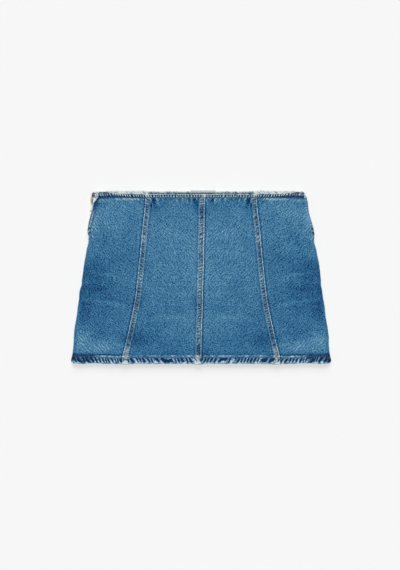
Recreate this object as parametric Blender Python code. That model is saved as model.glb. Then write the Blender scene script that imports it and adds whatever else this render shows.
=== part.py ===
"""A denim skort laid flat on its back: a panelled mini skirt with plain shorts inside and a side zip.

The garment lies on the XY plane. X runs across it, +Y runs from the hem to the waist, and +Z points
up out of its front. Sizes are in millimetres with the hem at y = 0; place() moves the middle of the
garment to the origin and turns millimetres into metres.
"""

import math
from dataclasses import dataclass

import bmesh
import bpy

# Outline of the front, laid flat.
HALF_AT_HEM = 221.0          # middle to side seam at the hem
FLARE = 0.124                # how much the side seam moves in for each mm up, hem to hip
HIP_Y = 220.0                # height of the hip point
WAIST_TAPER = 0.26           # the same above the hip
WAIST_FRONT = 285.8          # top edge at the middle of the front
WAIST_DIP = 7.0              # how much higher the front's top edge is at its ends
WAIST_HALF = 177.0           # middle to side seam at the waist
WAIST_BACK = 293.4           # top edge at the middle of the back
LABEL_TOP = 294.4            # highest point of all
MIDDLE_Y = LABEL_TOP / 2

# Cloth and the space between two pieces.
DENIM = 1.0
GAP = 0.3
LAP = DENIM + GAP            # how far one panel stands over the one tucked under it
HEM_PLIES = 2.8              # three plies of the hem, pressed together
EDGE_ROLL = 6.0              # width of the rounding at the side seams
SEAM_BACK = 3.1              # height at which the back's side edges end
SEAM_FRONT = SEAM_BACK + GAP

# Heights of the outermost face of the front: over the hem, the body and the waist binding.
FACE_HEM = 7.2
FACE_BODY = 6.2
FACE_WAIST = 8.8
SWELL = 0.6                  # how much each front panel rises between its seams

# Felled seams: the width of the raised band and where its cloth comes down again.
BAND = 9.4
BAND_FOOT = 11.0
TUCK = 8.8
SIDE_SEAM_TOP = 93.8         # middle to side-front seam at the waist
SEAM_SLOPE = 0.0935
SEAM_KICK = 14.3             # extra sweep outwards over the lowest part
KICK_Y = 126.0

# Waist binding: a folded strip over the top edges.
BIND_DEEP = 7.0
BIND_THICK = 3.6

# Side zip, on the left. The chain runs beside the front's edge and under it lower down.
ZIP_FOOT = 180.8
ZIP_TOP = 281.2
CHAIN_WIDE = 1.6
CHAIN_TALL = 3.6
CHAIN_Z = 3.1
TAPE_IN = 12.0
SLIDER_Y = 286.5
SLIDER_TURN = math.radians(12.0)

# Shorts.
LEG_HEM_Y = 28.0
CROTCH_Y = 80.0
LEG_GAP = 12.0

ROLL_ANGLES = (32.0, 56.0, 75.0, 90.0)
SHARES = (0.25, 0.5, 0.75)


@dataclass(frozen=True)
class Row:
    """One row of a panel: its height, the face it belongs to and the depths of its two surfaces.

    y is measured up from the hem, or down from the top edge where below_top is true.
    """

    y: float
    below_top: bool
    face: float
    outer: float
    inner: float


@dataclass(frozen=True)
class Column:
    """One column of a panel: x(y), how it lies in a seam, its swell and its roll at the side.

    lies is "flat", "over" for a band that lies on the next panel, or "under" for a tucked edge.
    """

    x: object
    lies: str = "flat"
    swell: float = 0.0
    roll: float = -1.0
    side: int = 1


def rows_of(hem, body, waist):
    """The rows of a panel from hem to top edge, for these three face heights."""
    table = (
        # y, below_top, face, outer, inner
        (0.0, False, hem, 0.9, 1.9),
        (0.4, False, hem, 0.4, 2.4),
        (1.2, False, hem, 0.0, HEM_PLIES),
        (11.6, False, hem, 0.0, HEM_PLIES),
        (12.8, False, body, 0.0, DENIM),
        (40.0, False, body, 0.0, DENIM),
        (70.0, False, body, 0.0, DENIM),
        (100.0, False, body, 0.0, DENIM),
        (126.0, False, body, 0.0, DENIM),
        (150.0, False, body, 0.0, DENIM),
        (166.0, False, body, 0.0, DENIM),
        (176.0, False, body, 0.0, DENIM),
        (200.0, False, body, 0.0, DENIM),
        (220.0, False, body, 0.0, DENIM),
        (234.0, False, body, 0.0, DENIM),
        (247.0, False, body, 0.0, DENIM),
        (261.0, False, body, 0.0, DENIM),
        (9.3, True, body, 0.0, DENIM),
        (7.4, True, waist, LAP, LAP + DENIM),
        (1.3, True, waist, LAP, LAP + DENIM),
    )
    return [Row(*line) for line in table]


FRONT_ROWS = rows_of(FACE_HEM, FACE_BODY, FACE_WAIST)
BACK_ROWS = rows_of(0.0, 0.0, 0.0)


def half_width(y):
    """Middle to side seam at height y."""
    if y <= HIP_Y:
        return HALF_AT_HEM - FLARE * y
    return HALF_AT_HEM - FLARE * HIP_Y - WAIST_TAPER * (y - HIP_Y)


def side_front_seam(y):
    """Middle to the folded edge of the side-front seam at height y."""
    kick = max(0.0, (KICK_Y - max(y, 12.0)) / KICK_Y)
    return SIDE_SEAM_TOP + SEAM_SLOPE * (283.0 - max(y, 12.0)) + SEAM_KICK * kick ** 1.6


def centre_seam(y):
    """X of the folded edge of the centre seam at height y."""
    return 1.9 + 5.6 * (max(y, 0.0) / 283.0) ** 2.2


def centre_band(y):
    """Width of the centre seam's band at height y."""
    return 12.6 - 2.9 * max(y, 0.0) / 283.0


def front_top(x):
    """Height of the front's top edge at x."""
    return WAIST_FRONT + WAIST_DIP * min(1.0, abs(x) / WAIST_HALF) ** 1.4


def back_top(x):
    """Height of the back's top edge at x."""
    return WAIST_BACK - 0.6 * (abs(x) / WAIST_HALF) ** 4


def interpolate(table, y):
    """The value at y in a table of (y, value) pairs in rising order."""
    if y <= table[0][0]:
        return table[0][1]
    for (y0, v0), (y1, v1) in zip(table, table[1:]):
        if y <= y1:
            return v0 + (v1 - v0) * (y - y0) / (y1 - y0)
    return table[-1][1]


# How far the chain's middle stands outside the front's left edge, against height.
CHAIN_OUT = ((205.0, -1.0), (220.0, 0.1), (234.0, 2.1), (247.0, 3.8), (261.0, 5.6), (283.0, 6.6), (290.0, 7.0))


# The same for the back's left edge, which lies under the zip and stops short of the slider.
BACK_OUT = ((205.0, 0.0), (220.0, 0.1), (234.0, 2.1), (247.0, 3.6), (261.0, 4.6), (276.0, 3.4), (290.0, 3.2))


def chain_x(y):
    """X of the middle of the zip's chain at height y."""
    return -half_width(y) - interpolate(CHAIN_OUT, y)


def roll_share(side, y):
    """How much a side edge rolls round to the seam: all of it, but none beside the zip."""
    if side > 0:
        return 1.0
    return 1.0 - min(1.0, max(0.0, (y - 166.0) / 10.0))


def place(x, y, z):
    """Turns a point in millimetres above the hem into metres about the middle of the garment."""
    return (x * 0.001, (y - MIDDLE_Y) * 0.001, z * 0.001)


def clear_scene():
    """Removes what the start-up file brings."""
    for item in list(bpy.data.objects):
        bpy.data.objects.remove(item, do_unlink=True)


def make_material(name, colour, roughness, metallic=0.0):
    """A plain Principled material."""
    material = bpy.data.materials.new(name)
    material.use_nodes = True
    shader = material.node_tree.nodes["Principled BSDF"]
    shader.inputs["Base Color"].default_value = (*colour, 1.0)
    shader.inputs["Roughness"].default_value = roughness
    shader.inputs["Metallic"].default_value = metallic
    return material


def add_object(name, points, faces, material, origin=(0.0, 0.0, 0.0)):
    """Adds a closed mesh with its normals outward and its origin at the given point in metres."""
    shifted = [tuple(c - o for c, o in zip(point, origin)) for point in points]
    mesh = bpy.data.meshes.new(name)
    mesh.from_pydata(shifted, [], faces)
    work = bmesh.new()
    work.from_mesh(mesh)
    bmesh.ops.recalc_face_normals(work, faces=work.faces)
    work.to_mesh(mesh)
    work.free()
    mesh.materials.append(material)
    item = bpy.data.objects.new(name, mesh)
    item.location = origin
    bpy.context.scene.collection.objects.link(item)
    return item


def closed_wall(name, outer, inner, material):
    """A closed wall between two grids of points that have the same rows and columns."""
    rows = len(outer)
    columns = len(outer[0])
    points = [place(*point) for row in outer for point in row]
    points += [place(*point) for row in inner for point in row]
    shift = rows * columns
    faces = []
    for i in range(rows - 1):
        for j in range(columns - 1):
            a = i * columns + j
            b = a + 1
            c = b + columns
            d = a + columns
            faces.append((a, b, c, d))
            faces.append((a + shift, d + shift, c + shift, b + shift))
    rim = [j for j in range(columns)]
    rim += [i * columns + columns - 1 for i in range(1, rows)]
    rim += [(rows - 1) * columns + j for j in range(columns - 2, -1, -1)]
    rim += [i * columns for i in range(rows - 2, 0, -1)]
    for a, b in zip(rim, rim[1:] + rim[:1]):
        faces.append((a, a + shift, b + shift, b))
    return add_object(name, points, faces, material)


def panel_point(row, column, depth, front):
    """The point of a panel at this row, column and depth below its outermost face."""
    y = row.y
    if row.below_top:
        y = (287.0 if column.roll < 0.0 else 292.8) - row.y
    z = row.face - depth if front else depth
    if column.lies == "over":
        z += LAP
    if column.lies == "under" and not front:
        z += LAP
    if column.roll < 0.0:
        x = column.x(y)
        if front and not row.below_top and 12.0 < y < 270.0:
            z += SWELL * math.sin(math.pi * column.swell) * math.sin(math.pi * (y - 12.0) / 258.0)
    else:
        middle = SEAM_FRONT if front else SEAM_BACK
        turn = math.radians(column.roll)
        half = half_width(y)
        if not front and column.side < 0:
            half += interpolate(BACK_OUT, y)
        share = roll_share(column.side, y)
        rolled_x = half - EDGE_ROLL + (EDGE_ROLL - depth) * math.sin(turn)
        flat_x = half - EDGE_ROLL + EDGE_ROLL * math.sin(turn)
        rolled_z = middle + (z - middle) * math.cos(turn)
        x = column.side * (flat_x + (rolled_x - flat_x) * share)
        z = z + (rolled_z - z) * share
    if row.below_top:
        y = (front_top(x) if front else back_top(x)) - row.y
    return (x, y, z)


def build_panel(name, columns, front, material):
    """One panel of the skirt, with its hem folded up and its top edge inside the binding."""
    outer = []
    inner = []
    for row in FRONT_ROWS if front else BACK_ROWS:
        outer_line = []
        inner_line = []
        for column in columns:
            top = row.outer
            if column.lies == "under":
                top = row.inner - DENIM
            outer_line.append(panel_point(row, column, top, front))
            inner_line.append(panel_point(row, column, row.inner, front))
        outer.append(outer_line)
        inner.append(inner_line)
    return closed_wall(name, outer, inner, material)


def between(left, right):
    """Columns that share out the space between two columns' lines."""

    def at(share):
        return lambda y: left(y) + (right(y) - left(y)) * share

    return [Column(at(share), swell=share) for share in SHARES]


def side_columns(side, front):
    """Columns of a side panel, from its tucked edge to the side seam."""
    step = (0.3, 0.9) if front else (0.4, 1.4)

    def seam(offset):
        return lambda y: side * (side_front_seam(y) + offset)

    def roll_start(y):
        return side * (half_width(y) - EDGE_ROLL)

    columns = [Column(seam(-TUCK), "under"), Column(seam(step[0]), "under"), Column(seam(step[1]))]
    columns += between(seam(step[1]), roll_start)
    columns += [Column(None, roll=0.0, side=side)]
    columns += [Column(None, roll=angle, side=side) for angle in ROLL_ANGLES]
    return columns


def front_left_columns():
    """Columns of the left centre panel: a band over the side panel and one over its neighbour."""

    def seam(offset):
        return lambda y: -(side_front_seam(y) + offset)

    def centre(offset):
        return lambda y: centre_seam(y) - centre_band(y) + offset

    columns = [Column(seam(0.0), "over"), Column(seam(-BAND), "over"), Column(seam(-BAND_FOOT))]
    columns += between(seam(-BAND_FOOT), centre(-1.4))
    columns += [Column(centre(-1.4)), Column(centre(0.2), "over"), Column(centre_seam, "over")]
    return columns


def front_right_columns():
    """Columns of the right centre panel: tucked under its neighbour, with a band at its side."""

    def seam(offset):
        return lambda y: side_front_seam(y) + offset

    def centre(offset):
        return lambda y: centre_seam(y) + offset

    def tuck(y):
        return centre_seam(y) - centre_band(y) + 0.9

    columns = [Column(tuck, "under"), Column(centre(0.3), "under"), Column(centre(0.9))]
    columns += between(centre(0.9), seam(-BAND_FOOT))
    columns += [Column(seam(-BAND_FOOT)), Column(seam(-BAND), "over"), Column(seam(0.0), "over")]
    return columns


def back_centre_columns():
    """Columns of the back's one centre panel, whose edges lie over the side panels' edges."""

    def at(share):
        return lambda y: side_front_seam(y) * share

    return [Column(at(share)) for share in (-1.0, -0.6, -0.2, 0.2, 0.6, 1.0)]


def seam_lift(x, front):
    """How far a leaf of the binding is pushed out where a seam's second ply passes under it."""
    y = 285.0
    bands = [(side_front_seam(y) - BAND - 1.0, side_front_seam(y) + 0.9)]
    bands.append((-bands[0][1], -bands[0][0]))
    if front:
        bands.append((centre_seam(y) - centre_band(y) - 0.8, centre_seam(y) + 0.9))
    for start, end in bands:
        outside = max(start - x, x - end, 0.0)
        if outside < 2.6:
            return LAP * (1.0 - outside / 2.6)
    return 0.0


def binding_stations(front):
    """Places along the binding as (x, roll angle), from the zip to the side seam."""
    y = 285.0
    seam = side_front_seam(y)
    marks = (seam - BAND - 3.6, seam - BAND - 1.0, seam + 0.9, seam + 3.5)
    xs = [-half_width(290.0) - (0.0 if front else 3.2), -150.0, -125.0, -50.0, 50.0, 125.0, 150.0]
    xs += [mark for mark in marks] + [-mark for mark in marks]
    if front:
        low = centre_seam(y) - centre_band(y) - 0.8
        high = centre_seam(y) + 0.9
        xs += [low - 2.6, low, high, high + 2.6, -25.0, 25.0]
    else:
        xs += [0.0]
    stations = [(x, -1.0) for x in sorted(xs)]
    stations += [(0.0, angle) for angle in (0.0, *ROLL_ANGLES)]
    return stations


def binding_section(front, lift):
    """The folded strip's section as (distance below the top edge, depth) pairs, in order round it."""
    out = -lift if front else 0.0
    back = BIND_THICK if front else BIND_THICK + lift
    leaf = DENIM
    return (
        (BIND_DEEP, out),
        (1.3, out),
        (0.4, out + 0.4),
        (0.0, out + 1.3),
        (0.0, back - 1.3),
        (0.4, back - 0.4),
        (1.3, back),
        (BIND_DEEP, back),
        (BIND_DEEP, back - leaf),
        (1.0, back - leaf),
        (1.0, out + leaf),
        (BIND_DEEP, out + leaf),
    )


def build_binding(name, front, material):
    """A strip folded over the top edges of the front or the back."""
    top = front_top if front else back_top
    face = FACE_WAIST if front else 0.0
    middle = SEAM_FRONT if front else SEAM_BACK
    points = []
    stations = binding_stations(front)
    for x, roll in stations:
        lift = seam_lift(x, front) if roll < 0.0 else 0.0
        for down, depth in binding_section(front, lift):
            z = face - depth if front else depth
            px = x
            if roll >= 0.0:
                turn = math.radians(roll)
                half = half_width(292.8 - down)
                px = half - EDGE_ROLL + (EDGE_ROLL - depth) * math.sin(turn)
                z = middle + (z - middle) * math.cos(turn)
            points.append(place(px, top(px) - down, z))
    count = len(binding_section(front, 0.0))
    faces = []
    for i in range(len(stations) - 1):
        for j in range(count):
            a = i * count + j
            b = i * count + (j + 1) % count
            faces.append((a, b, b + count, a + count))
    for start in (0, (len(stations) - 1) * count):
        ring = [start + j for j in range(count)]
        faces += cap_faces(ring)
    return add_object(name, points, faces, material)


def cap_faces(ring):
    """Closes one end of the binding: its outer leaf, its fold and its inner leaf."""
    outer_leaf = (ring[0], ring[1], ring[10], ring[11])
    fold = (ring[1], ring[2], ring[3], ring[4], ring[5], ring[6], ring[9], ring[10])
    inner_leaf = (ring[6], ring[7], ring[8], ring[9])
    return [outer_leaf, fold, inner_leaf]


def shorts_side(side, y):
    """Middle to side seam of the shorts: straighter than the skirt, and set in beside the zip."""
    hip = half_width(HIP_Y) - 7.0
    width = hip + 0.055 * (HIP_Y - y) if y < HIP_Y else half_width(y) - 7.0
    if side < 0 and y > 160.0:
        share = min(1.0, (y - 160.0) / 10.0)
        width += (half_width(y) - TAPE_IN - 1.4 - width) * share
    return width


def shorts_inner(y):
    """Middle to the inner edge: the centre seam, and below the crotch the inside of the leg."""
    if y >= CROTCH_Y:
        return 0.15
    return 0.15 + LEG_GAP * (CROTCH_Y - y) / (CROTCH_Y - LEG_HEM_Y)


def build_shorts_panel(name, side, front, material):
    """A quarter of the shorts: one leg, front or back, from its hem to the waist seam."""
    low = 3.9 if front else 2.6
    heights = (LEG_HEM_Y, 50.0, CROTCH_Y, 120.0, 160.0, 170.0, 200.0, 220.0, 245.0, 262.0, 9.5)
    outer = []
    inner = []
    for y in heights:
        at_top = y < LEG_HEM_Y
        level = 292.8 - y if at_top else y
        start = shorts_inner(level)
        end = shorts_side(side, level)
        upper = []
        lower = []
        for share in (0.0, 0.25, 0.5, 0.75, 1.0):
            x = side * (start + (end - start) * share)
            py = (front_top(x) if front else back_top(x)) - y if at_top else y
            upper.append((x, py, low + DENIM))
            lower.append((x, py, low))
        outer.append(upper)
        inner.append(lower)
    return closed_wall(name, outer, inner, material)


def build_tape(name, low, heights, material):
    """One half of the zip's tape, from under its panel's edge to the chain."""
    outer = []
    inner = []
    for y in heights:
        beside_slider = y > ZIP_TOP
        inside = -half_width(y) + (6.0 if y > 286.0 else TAPE_IN)
        outside = chain_x(y) + (2.7 if beside_slider else 1.1)
        outer.append([(outside, y, low + DENIM), (inside, y, low + DENIM)])
        inner.append([(outside, y, low), (inside, y, low)])
    return closed_wall(name, outer, inner, material)


def build_chain(name, material):
    """The closed chain of teeth as one slim bar that follows the edge."""
    outer = []
    inner = []
    for y in (ZIP_FOOT, 200.0, 205.0, 220.0, 234.0, 247.0, 261.0, ZIP_TOP):
        x = chain_x(y)
        ends = (x - CHAIN_WIDE / 2, x + CHAIN_WIDE / 2)
        outer.append([(end, y, CHAIN_Z + CHAIN_TALL / 2) for end in ends])
        inner.append([(end, y, CHAIN_Z - CHAIN_TALL / 2) for end in ends])
    return closed_wall(name, outer, inner, material)


def cell_solid(cuts, filled):
    """The outside faces of a block of cells, of which filled(i, j, k) says which are solid."""
    sizes = [len(line) - 1 for line in cuts]

    def solid(cell):
        return all(0 <= c < n for c, n in zip(cell, sizes)) and filled(*cell)

    index = {}
    points = []
    faces = []

    def corner(key):
        if key not in index:
            index[key] = len(points)
            points.append(tuple(cuts[axis][key[axis]] for axis in range(3)))
        return index[key]

    for i in range(sizes[0]):
        for j in range(sizes[1]):
            for k in range(sizes[2]):
                if not solid((i, j, k)):
                    continue
                for axis in range(3):
                    for end in (0, 1):
                        beside = [i, j, k]
                        beside[axis] += 2 * end - 1
                        if solid(tuple(beside)):
                            continue
                        u = (axis + 1) % 3
                        v = (axis + 2) % 3
                        face = []
                        for du, dv in ((0, 0), (1, 0), (1, 1), (0, 1)):
                            key = [i, j, k]
                            key[axis] += end
                            key[u] += du
                            key[v] += dv
                            face.append(corner(tuple(key)))
                        faces.append(tuple(face))
    return points, faces


def zip_frame(point):
    """Turns a point given as (out of the zip's face, up the zip, across it) into the garment's axes."""
    out, up, across = point
    x = chain_x(SLIDER_Y) - out * math.cos(SLIDER_TURN) + up * math.sin(SLIDER_TURN)
    y = SLIDER_Y + out * math.sin(SLIDER_TURN) + up * math.cos(SLIDER_TURN)
    return place(x, y, CHAIN_Z + across)


def build_slider(name, material):
    """The slider: a body that narrows downwards and a bridge that holds the pull tab."""
    cuts = ((-2.3, 2.3, 3.9, 4.8), (-4.5, -2.9, -2.0, 2.0, 2.9, 4.5), (-2.6, -0.7, 0.7, 2.6))

    def filled(i, j, k):
        if i == 0:
            return True
        if i == 1:
            return j in (1, 3) and k == 1
        return j in (1, 2, 3) and k == 1

    points, faces = cell_solid(cuts, filled)
    shaped = []
    for out, up, across in points:
        if abs(across) > 2.0:
            across *= 0.72 + 0.28 * (up + 4.5) / 9.0
        shaped.append(zip_frame((out, up, across)))
    return add_object(name, shaped, faces, material)


def build_pull_tab(name, material):
    """The pull tab: two arms and a bar under the bridge, and a plate that hangs down the zip."""
    cuts = ((2.65, 3.55), (-13.2, -12.2, -3.6, 0.35, 1.25), (-2.2, -0.95, 0.95, 2.2))

    def filled(_, j, k):
        return j != 2 or k != 1

    points, faces = cell_solid(cuts, filled)
    shaped = []
    for out, up, across in points:
        if up < -13.0:
            across *= 0.6
        shaped.append(zip_frame((out, up, across)))
    return add_object(name, shaped, faces, material, origin=zip_frame((3.1, 0.8, 0.0)))


def build_bottom_stop(name, material):
    """The small metal stop below the last tooth."""
    x = chain_x(179.0)
    points, faces = cell_solid(((x - 1.0, x + 1.0), (177.6, 180.4), (1.3, 4.9)), lambda *_: True)
    return add_object(name, [place(*point) for point in points], faces, material)


def build_label(name, material):
    """The plain label inside the back's waist."""
    across = (-17.9, 24.7)
    outer = []
    inner = []
    for y in (281.5, LABEL_TOP):
        outer.append([(x, y, 4.9) for x in across])
        inner.append([(x, y, 3.9) for x in across])
    return closed_wall(name, outer, inner, material)


def main():
    """Builds every piece of the skort."""
    clear_scene()
    denim = make_material("washed_denim", (0.065, 0.175, 0.295), 0.85)
    lining = make_material("shorts_cotton", (0.075, 0.15, 0.24), 0.9)
    tape = make_material("zip_tape_ecru", (0.62, 0.58, 0.48), 0.85)
    brass = make_material("antique_brass", (0.42, 0.33, 0.2), 0.4, 1.0)
    label = make_material("label_grey", (0.55, 0.58, 0.62), 0.8)

    build_panel("front_side_left", side_columns(-1, True), True, denim)
    build_panel("front_centre_left", front_left_columns(), True, denim)
    build_panel("front_centre_right", front_right_columns(), True, denim)
    build_panel("front_side_right", side_columns(1, True), True, denim)
    build_panel("back_side_left", side_columns(-1, False), False, denim)
    build_panel("back_centre", back_centre_columns(), False, denim)
    build_panel("back_side_right", side_columns(1, False), False, denim)
    build_binding("waist_binding_front", True, denim)
    build_binding("waist_binding_back", False, denim)
    for place_name, side in (("left", -1), ("right", 1)):
        build_shorts_panel(f"shorts_front_{place_name}", side, True, lining)
        build_shorts_panel(f"shorts_back_{place_name}", side, False, lining)
    tape_rows = (178.0, 205.0, 220.0, 234.0, 247.0, 261.0, ZIP_TOP - 1.0, ZIP_TOP + 0.1, 283.2)
    build_tape("zip_tape_front", 3.9, (*tape_rows, 289.5), tape)
    build_tape("zip_tape_back", 1.3, tape_rows, tape)
    build_chain("zip_chain", brass)
    build_slider("zip_slider", brass)
    build_pull_tab("zip_pull_tab", brass)
    build_bottom_stop("zip_bottom_stop", brass)
    build_label("waist_label", label)


main()
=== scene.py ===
"""Dresses a washed denim skort that lies flat on its back.

The skirt's panels, its binding, the shorts inside, the side zip and all the stitching are made here
as soft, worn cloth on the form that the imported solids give. Lengths are in millimetres above the
hem and from the middle until a mesh is written, which is in metres.
"""

from __future__ import annotations

import logging
import math
import sys
from contextlib import contextmanager
from dataclasses import dataclass
from enum import Enum
from functools import partial
from typing import Any, Callable, Iterator, Sequence

import bmesh
import bpy
import numpy as np
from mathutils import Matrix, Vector
from mathutils.bvhtree import BVHTree

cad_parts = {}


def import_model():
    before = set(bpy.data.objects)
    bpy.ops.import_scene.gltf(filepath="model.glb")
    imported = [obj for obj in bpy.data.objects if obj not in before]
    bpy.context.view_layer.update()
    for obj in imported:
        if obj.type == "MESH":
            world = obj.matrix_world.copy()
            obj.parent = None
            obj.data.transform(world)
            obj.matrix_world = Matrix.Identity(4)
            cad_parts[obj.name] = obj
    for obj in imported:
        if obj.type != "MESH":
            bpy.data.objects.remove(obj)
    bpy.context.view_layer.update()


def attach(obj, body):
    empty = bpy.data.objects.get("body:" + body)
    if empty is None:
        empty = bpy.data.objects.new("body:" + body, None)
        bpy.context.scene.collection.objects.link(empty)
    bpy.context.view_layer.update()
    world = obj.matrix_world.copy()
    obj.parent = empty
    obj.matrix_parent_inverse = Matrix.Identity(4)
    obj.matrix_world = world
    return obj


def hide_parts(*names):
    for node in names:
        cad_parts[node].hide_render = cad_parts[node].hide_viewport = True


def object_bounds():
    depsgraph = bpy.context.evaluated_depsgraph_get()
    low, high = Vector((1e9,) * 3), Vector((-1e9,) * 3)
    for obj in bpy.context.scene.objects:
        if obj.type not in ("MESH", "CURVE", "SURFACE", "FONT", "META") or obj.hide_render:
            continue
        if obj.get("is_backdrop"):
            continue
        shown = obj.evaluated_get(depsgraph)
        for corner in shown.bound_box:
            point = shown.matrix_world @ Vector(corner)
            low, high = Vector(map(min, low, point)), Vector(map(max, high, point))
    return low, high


LOG = logging.getLogger("skort")
Array = np.ndarray
Piece = bpy.types.Object
Finish = bpy.types.Material
BODY = "garment"
FAR_AWAY = 99
CLOTH_ANGLE = 50
METAL_ANGLE = 35
ORIGIN = (0, 0, 0)


def smooth(low: float, high: float, value: Array) -> Array:
    """Rises softly from 0 where the value is low to 1 where it is high."""
    share = np.clip((value - low) / (high - low), 0, 1)
    return share * share * (3 - 2 * share)


def near(value: Array, at: Array | float, width: float) -> Array:
    """A soft bell of height 1 round a number, or round a line that varies."""
    return np.exp(-(((value - at) / width) ** 2))


class Ripple:
    """Seeded, smooth unevenness made of many small waves."""

    def __init__(self, seed: int, shortest: float, longest: float, waves: int = 26) -> None:
        """Chooses the waves.

        Args:
            seed: Fixes the choice.
            shortest: Shortest wave length in millimetres.
            longest: Longest wave length in millimetres.
            waves: How many waves are added up.
        """
        draw = np.random.RandomState(seed)
        length = np.exp(draw.uniform(math.log(shortest), math.log(longest), waves))
        turn = draw.uniform(0, 2 * math.pi, waves)
        self.kx = 2 * math.pi / length * np.cos(turn)
        self.ky = 2 * math.pi / length * np.sin(turn)
        self.phase = draw.uniform(0, 2 * math.pi, waves)
        self.size = math.sqrt(2 / waves)

    def __call__(self, x: Array, y: Array) -> Array:
        """Reads the unevenness, which mostly stays between -2 and 2.

        Args:
            x: Across the cloth.
            y: Up the cloth.

        Returns:
            The sum of the waves at each point.
        """
        total = np.zeros(np.broadcast(x, y).shape)
        for kx, ky, phase in zip(self.kx, self.ky, self.phase):
            total = total + np.cos(kx * x + ky * y + phase)
        return total * self.size


@dataclass(frozen=True)
class Pattern:
    """The cut of the skort, laid flat, and the heights of its plies."""

    half_at_hem: float = 221.0
    flare: float = 0.124
    hip_y: float = 220.0
    waist_taper: float = 0.26
    waist_front: float = 288.0
    waist_dip: float = 4.3
    waist_half: float = 177.0
    waist_back: float = 293.4
    label_top: float = 294.4
    denim: float = 1.0
    lap: float = 1.3
    edge_roll: float = 6.0
    seam_back: float = 3.1
    seam_front: float = 3.4
    face_hem: float = 7.2
    face_body: float = 6.2
    face_waist: float = 8.8
    swell: float = 0.6
    band: float = 9.4
    band_foot: float = 11.0
    tuck: float = 8.8
    hem_deep: float = 13.2
    binding_foot: float = 281.3
    hem_plies: float = 2.8
    body_long: float = 268.0
    turn_down: float = 15.4
    centre_band: float = 10.4
    nearer_centre: float = 50.0

    def half_width(self, y: Array) -> Array:
        """Middle to side seam at height y."""
        above = np.maximum(y - self.hip_y, 0)
        return self.half_at_hem - self.flare * np.minimum(y, self.hip_y) - self.waist_taper * above

    def side_seam(self, y: Array) -> Array:
        """Middle to the folded edge of the side-front seam at height y."""
        y = np.maximum(y, 12)
        kick = np.maximum(0, (126 - y) / 126)
        wander = 0.35 * near(y, 230, 18) + 0.5 * near(y, 70, 30)
        return 94.1 + 0.102 * (283 - y) + 14.3 * kick ** 1.6 + wander

    def centre_seam(self, y: Array) -> Array:
        """X of the folded edge of the centre seam at height y."""
        line = 0.0225 * y + 0.1 + 0.5 * near(y, 225, 25)
        return line + 0.8 * near(y, 165, 25) + 0.6 * near(y, 98, 18)

    def front_top(self, x: Array) -> Array:
        """Height of the front's top edge at x."""
        return self.waist_front + self.waist_dip * smooth(138, 173, abs(x))

    def back_top(self, x: Array) -> Array:
        """Height of the back's top edge at x."""
        span = abs(x)
        level = self.waist_back + 0.4 * smooth(60, 100, span) + 0.8 * near(span, 101, 7)
        return level - smooth(150, 176, span)

    def chain_x(self, y: Array) -> Array:
        """X of the middle of the zip's chain at height y."""
        heights = (205, 220, 234, 247, 261, 283, 290)
        out = (-1, 0.1, 2.1, 3.8, 5.6, 6.6, 7)
        return -self.half_width(y) - np.interp(y, heights, out) - outline_wave(y, -1)

    def back_out(self, y: Array) -> Array:
        """How far the back's left edge stands out beside the zip."""
        heights = (205, 220, 234, 247, 261, 276, 290)
        return np.interp(y, heights, (0, 0.1, 2.1, 3.6, 4.6, 3.4, 3.2))

    def front_out(self, y: Array) -> Array:
        """How far the front's folded edge beside the zip bows out over the tape."""
        heights = (205, 220, 234, 247, 261, 268, 272.5, 276.5, 280, 284)
        return np.interp(y, heights, (0, 0.5, 2.3, 3.6, 4.3, 4.9, 4.8, 3, 0.6, -1.8))


PATTERN = Pattern()


@dataclass(frozen=True)
class Crease:
    """A soft ridge or trough along a line, given for the left and mirrored to the right."""

    x0: float
    y0: float
    x1: float
    y1: float
    width: float
    height: float

    def read(self, x: Array, y: Array) -> Array:
        """Its height at each point, which fades towards its ends."""
        x = -abs(x)
        along_x = self.x1 - self.x0
        along_y = self.y1 - self.y0
        length = math.hypot(along_x, along_y)
        along = ((x - self.x0) * along_x + (y - self.y0) * along_y) / length
        across = ((x - self.x0) * along_y - (y - self.y0) * along_x) / length
        ends = smooth(-0.25, 0.25, along / length) * (1 - smooth(0.7, 1.15, along / length))
        return self.height * np.exp(-((across / self.width) ** 2)) * ends


@dataclass(frozen=True)
class Patch:
    """A soft-edged place where the wash came out paler or deeper."""

    x: float
    y: float
    wide: float
    tall: float
    tone: float
    turn: float = 0.0
    mirrored: bool = True

    def read(self, x: Array, y: Array) -> Array:
        """Its tone at each point."""
        if self.mirrored:
            x = -abs(x)
        turn = math.radians(self.turn)
        u = (x - self.x) * math.cos(turn) + (y - self.y) * math.sin(turn)
        v = (y - self.y) * math.cos(turn) - (x - self.x) * math.sin(turn)
        return self.tone * np.exp(-((u / self.wide) ** 2) - (v / self.tall) ** 2)


def each(kind: Callable[..., Any], *rows: Sequence[float]) -> tuple[Any, ...]:
    """Makes one of a kind from each row of numbers."""
    return tuple(kind(*row) for row in rows)


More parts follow.
